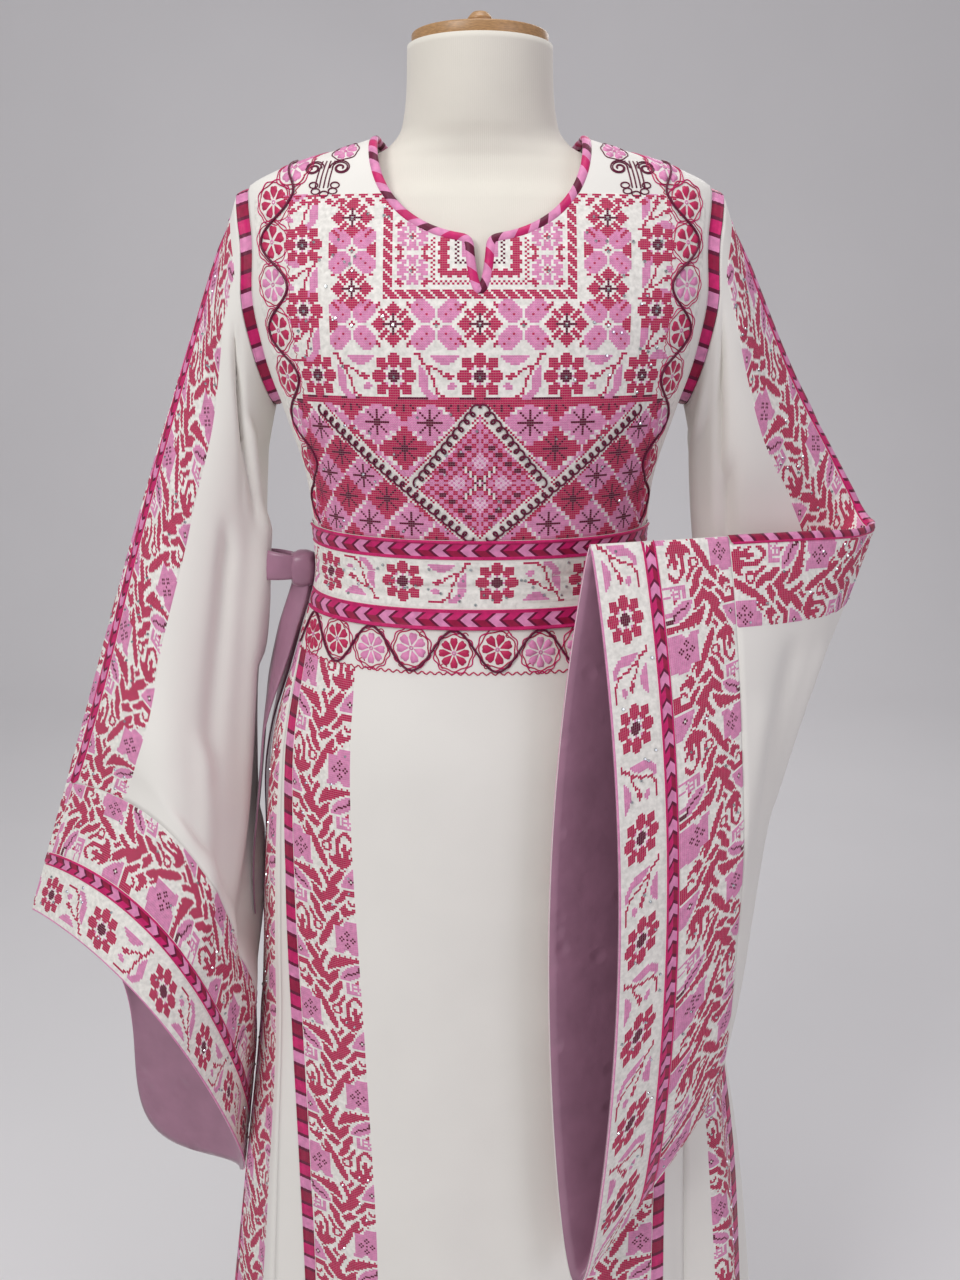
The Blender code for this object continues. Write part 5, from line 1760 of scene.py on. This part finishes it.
def cuff_stitching(side, seam, sparkle, rng):
    """The cuff's three bands: scrollwork, arrows and roses; and a cord round its edge."""
    vine_deep = CUFF_DEPTH - CUFF_ROSE - CHEVRON
    around = round(ring_length(side, seam + 0.5) / STITCH)

    def band(name, start, deep, chart_of, node):
        rows = round(deep / STITCH)

        def place(row, column, lift):
            key = seam + (start + np.asarray(row) * deep / rows) / CUFF_DEPTH
            key = np.minimum(key, seam + 1)
            return on_sleeve(side, np.asarray(column) / around * ring_length(side, key), key, lift)

        r, c = rng.uniform(2, rows - 2, 44), rng.uniform(2, around - 2, 44)
        sparkle.append(seats(place, r, c))
        return stitched(name, chart_of(rows), place, CLOTH + GAP, node)

    pieces = [band(f"cuff_vine_stitching_{side}", 0.0, vine_deep,
                   lambda rows: vine_chart(around, rows, 10).T, f"cuff_vine_{side}"),
              band(f"cuff_rose_stitching_{side}", CUFF_DEPTH - CUFF_ROSE, CUFF_ROSE,
                   lambda rows: garland_chart(rows, around, around / round(around / 42), 12),
                   f"cuff_roses_{side}")]
    middle = vine_deep + CHEVRON / 2
    length = float(ring_length(side, seam + middle / CUFF_DEPTH))

    def along(u, v, lift):
        key = seam + (middle + np.asarray(v)) / CUFF_DEPTH
        return on_sleeve(side, np.asarray(u) / length * ring_length(side, key), key, lift)

    arrows = Sewn()
    blocks(arrows, along, length, CHEVRON / 2, ARROW, ARROWS, ARROW_SLANT, 0.0016, closed=True)
    cord(arrows, along, np.linspace(0, length, 260, endpoint=False),
         np.full(260, CUFF_ROSE + CHEVRON / 2 - 0.0008), 0.0010, PINK, lift=CLOTH * 0.6, closed=True)
    return [*pieces, arrows.piece(f"cuff_arrows_{side}", f"cuff_chevron_{side}")]


# ---------------------------------------------------------------- the form and its stand
def make_torso():
    """The padded form: the body's own table set in, and a neck that rises from the shoulders."""
    heights = np.concatenate((np.linspace(FORM_LOW_Z, 1.30, 90), np.linspace(1.305, 1.3665, 18)))
    turns = np.linspace(0, 2 * np.pi, 96, endpoint=False)
    cloth = section(heights[:, None], np.where(turns > np.pi, turns - 2 * np.pi, turns)[None, :])
    normal = Surface(cloth, 1).normals
    rings = list(cloth - normal * FORM_CLEAR)
    neck_z = np.array((1.3665, 1.376, 1.386, 1.396, 1.406, 1.420, 1.450, NECK_TOP_Z))
    neck_half = np.array((0.1830, 0.160, 0.126, 0.095, 0.074, 0.0635, 0.0590, NECK_RADIUS))
    neck_front = np.array((0.0715, 0.062, 0.0565, 0.0530, 0.0530, 0.0560, 0.0580, 0.0580))
    neck_back = np.array((0.0780, 0.069, 0.0610, 0.0570, 0.0570, 0.0580, 0.0580, 0.0580))
    for z in np.concatenate((np.linspace(1.370, 1.420, 24), np.linspace(1.4235, NECK_TOP_Z, 14))):
        half = smooth(neck_z, neck_half, z)
        deep = np.where(np.cos(turns) > 0, smooth(neck_z, neck_front, z), smooth(neck_z, neck_back, z))
        rings.append(np.stack((half * np.sin(turns), -deep * np.cos(turns), np.full_like(turns, z)), axis=1))
    points = np.array(rings)
    points[0, :, 2] = FORM_LOW_Z
    rows, columns = points.shape[:2]
    faces = net(rows, columns, True).tolist()
    faces.append(tuple(range(columns))[::-1])
    faces.append(tuple(range((rows - 1) * columns, rows * columns)))
    torso = new_piece("torso_jersey", points, faces, finish("jersey"))
    torso.data.polygons[-1].use_smooth = torso.data.polygons[-2].use_smooth = False
    stands_for(torso, "cream_jersey", "form_torso")


def turned(name, radius, low, steps, node, slot, stuff):
    """A round piece: a cylinder whose top face is inset or drawn up, step by step."""
    bpy.ops.object.select_all(action="DESELECT")
    bpy.ops.mesh.primitive_cylinder_add(vertices=64, radius=radius, depth=steps[0][1],
                                        location=(0, 0, low + steps[0][1] / 2))
    piece = bpy.context.object
    piece.name = piece.data.name = name
    bpy.ops.object.transform_apply(location=True, rotation=True, scale=True)
    bpy.ops.object.mode_set(mode="EDIT")
    bpy.context.tool_settings.mesh_select_mode = (False, False, True)
    for share, rise in steps[1:]:
        bpy.ops.mesh.select_all(action="DESELECT")
        bpy.ops.object.mode_set(mode="OBJECT")
        top = max(piece.data.polygons, key=lambda face: (face.center.z, face.area))
        top.select = True
        bpy.ops.object.mode_set(mode="EDIT")
        bpy.ops.mesh.extrude_region_move(TRANSFORM_OT_translate={"value": (0, 0, rise)})
        bpy.ops.transform.resize(value=(share, share, 1.0))
    bpy.ops.object.mode_set(mode="OBJECT")
    rounding = piece.modifiers.new("Edges", "BEVEL")
    rounding.width, rounding.segments, rounding.limit_method = 0.0012, 3, "ANGLE"
    bpy.ops.object.modifier_apply(modifier=rounding.name)
    bpy.ops.object.shade_smooth_by_angle(angle=math.radians(35))
    piece.data.materials.clear()
    piece.data.materials.append(stuff)
    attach(piece, "root")
    stands_for(piece, slot, node)


def make_stand():
    turned("form_base_steel", BASE_RADIUS, 0.0, ((1.0, 0.0105), (0.985, 0.0020), (0.35, 0.0012)),
           "form_base", "black_steel", finish("steel"))
    turned("form_pole_steel", POLE_RADIUS, BASE_THICK + GAP,
           ((1.0, 0.022), (0.999, 0.30), (0.999, FORM_LOW_Z - BASE_THICK - 0.322 - 2 * GAP)),
           "form_pole", "black_steel", finish("steel"))
    turned("neck_cap_beech", 0.0545, NECK_TOP_Z + GAP,
           ((1.0, 0.0085), (0.80, 0.0022), (0.50, 0.0020), (0.42, 0.0045), (1.12, 0.0035), (0.55, 0.0048)),
           "form_neck_cap", "beech", finish("beech"))


# ---------------------------------------------------------------- the stage
def make_stage():
    """A pale floor that sweeps up into a wall, soft lights and the camera."""
    bend = np.linspace(0, np.pi / 2, 17)
    y = np.concatenate(((-8.0, 0.5), 2.7 + 0.8 * np.sin(bend), (3.5,)))
    z = np.concatenate(((0.0, 0.0), 0.8 * (1 - np.cos(bend)), (5.5,)))
    points = [(x, a, b) for a, b in zip(y, z) for x in (-7.0, 7.0)]
    faces = [(2 * k, 2 * k + 1, 2 * k + 3, 2 * k + 2) for k in range(len(y) - 1)]
    mesh = bpy.data.meshes.new("sweep")
    mesh.from_pydata(points, [], faces)
    mesh.shade_smooth()
    sweep = linked("sweep", mesh)
    paint, tree, shader, place = new_finish("matt studio paper", 0.9)
    painted(tree, shader, mottled(tree, (*bpy.context.scene.thobe_cloths.floor, 1), place, 1.5, 1.0, 0.97))
    mesh.materials.append(paint)
    world = bpy.data.worlds.new("studio")
    bpy.context.scene.world = world
    world.use_nodes = True
    sky = world.node_tree.nodes["Background"].inputs
    sky["Color"].default_value = (*linear("F1F0F4"), 1)
    sky["Strength"].default_value = 0.36
    for name, spot, size, power, tint in (
            ("window", (-1.6, -2.0, 2.5), 1.2, 38.0, "FFFFFF"),
            ("fill", (1.9, -1.8, 1.6), 1.4, 12.0, "F6F0FF"),
            ("above", (0.0, -0.3, 3.2), 1.2, 18.0, "FFFFFF"),
            ("behind", (1.1, 2.6, 2.7), 1.4, 16.0, "FFFFFF")):
        lamp = bpy.data.lights.new(name, "AREA")
        lamp.size, lamp.energy, lamp.color = size, power, linear(tint)
        made = linked(name, lamp)
        made.location = spot
        made.visible_camera = False
        made.rotation_euler = (Vector((0, 0, 1.0)) - Vector(spot)).to_track_quat("-Z", "Y").to_euler()
    lens = bpy.data.cameras.new("camera")
    lens.sensor_fit, lens.sensor_height, lens.lens = "VERTICAL", 36.0, 32.34
    camera = linked("camera", lens)
    camera.location = (0.0, -1.01, 1.27)
    camera.rotation_euler = (math.radians(74.5), 0, 0)
    bpy.context.scene.camera = camera
    bpy.context.scene.view_settings.view_transform = "Standard"


# ---------------------------------------------------------------- operators and panel
def make_sleeves():
    for side in SLEEVES:
        make_sleeve_pieces(side)


class PieceMaker:
    """What the operators share: each runs its makers in turn."""

    def execute(self, context):
        for maker in self.makers:
            maker()
        return {"FINISHED"}


class THOBE_OT_form(PieceMaker, bpy.types.Operator):
    """Makes the padded form, its neck cap, pole and base."""
    bl_idname = "thobe.form"
    bl_label = "Form and stand"
    makers = (make_torso, make_stand)


class THOBE_OT_skirt(PieceMaker, bpy.types.Operator):
    """Makes the skirt's two panels with their strips, trims, hip band and stones."""
    bl_idname = "thobe.skirt"
    bl_label = "Skirt"
    makers = (make_skirt,)


class THOBE_OT_bodice(PieceMaker, bpy.types.Operator):
    """Makes the bodice's two panels with the chest's stitching and the neck's binding."""
    bl_idname = "thobe.bodice"
    bl_label = "Bodice"
    makers = (make_bodice,)


class THOBE_OT_belt(PieceMaker, bpy.types.Operator):
    """Makes the belt, its trims, and the satin tie."""
    bl_idname = "thobe.belt"
    bl_label = "Belt and tie"
    makers = (make_belt, make_ties)


class THOBE_OT_sleeves(PieceMaker, bpy.types.Operator):
    """Makes both sleeves with their cuffs, linings, bands and trims."""
    bl_idname = "thobe.sleeves"
    bl_label = "Sleeves"
    makers = (make_sleeves,)


class THOBE_OT_stage(PieceMaker, bpy.types.Operator):
    """Sets up the floor, the lights and the camera."""
    bl_idname = "thobe.stage"
    bl_label = "Stage"
    makers = (make_stage,)


OPERATORS = (THOBE_OT_form, THOBE_OT_skirt, THOBE_OT_bodice, THOBE_OT_belt, THOBE_OT_sleeves,
             THOBE_OT_stage)


class THOBE_PT_panel(bpy.types.Panel):
    """Colours and the buttons that make each group of pieces."""
    bl_idname = "THOBE_PT_panel"
    bl_label = "Thobe"
    bl_space_type = "VIEW_3D"
    bl_region_type = "UI"
    bl_category = "Thobe"

    def draw(self, context):
        for group in (context.scene.thobe_threads, context.scene.thobe_cloths):
            for name in group.bl_rna.properties.keys():
                if name not in ("rna_type", "name"):
                    self.layout.prop(group, name)
        for made in OPERATORS:
            self.layout.operator(made.bl_idname)


CLASSES = (ThobeThreads, ThobeCloths, *OPERATORS, THOBE_PT_panel)


def register():
    for made in CLASSES:
        bpy.utils.register_class(made)
    bpy.types.Scene.thobe_threads = PointerProperty(type=ThobeThreads)
    bpy.types.Scene.thobe_cloths = PointerProperty(type=ThobeCloths)


def unregister():
    del bpy.types.Scene.thobe_threads
    del bpy.types.Scene.thobe_cloths
    for made in reversed(CLASSES):
        bpy.utils.unregister_class(made)


def main():
    register()
    for made in OPERATORS:
        group, name = made.bl_idname.split(".")
        getattr(getattr(bpy.ops, group), name)()


if __name__ == "__main__":
    main()
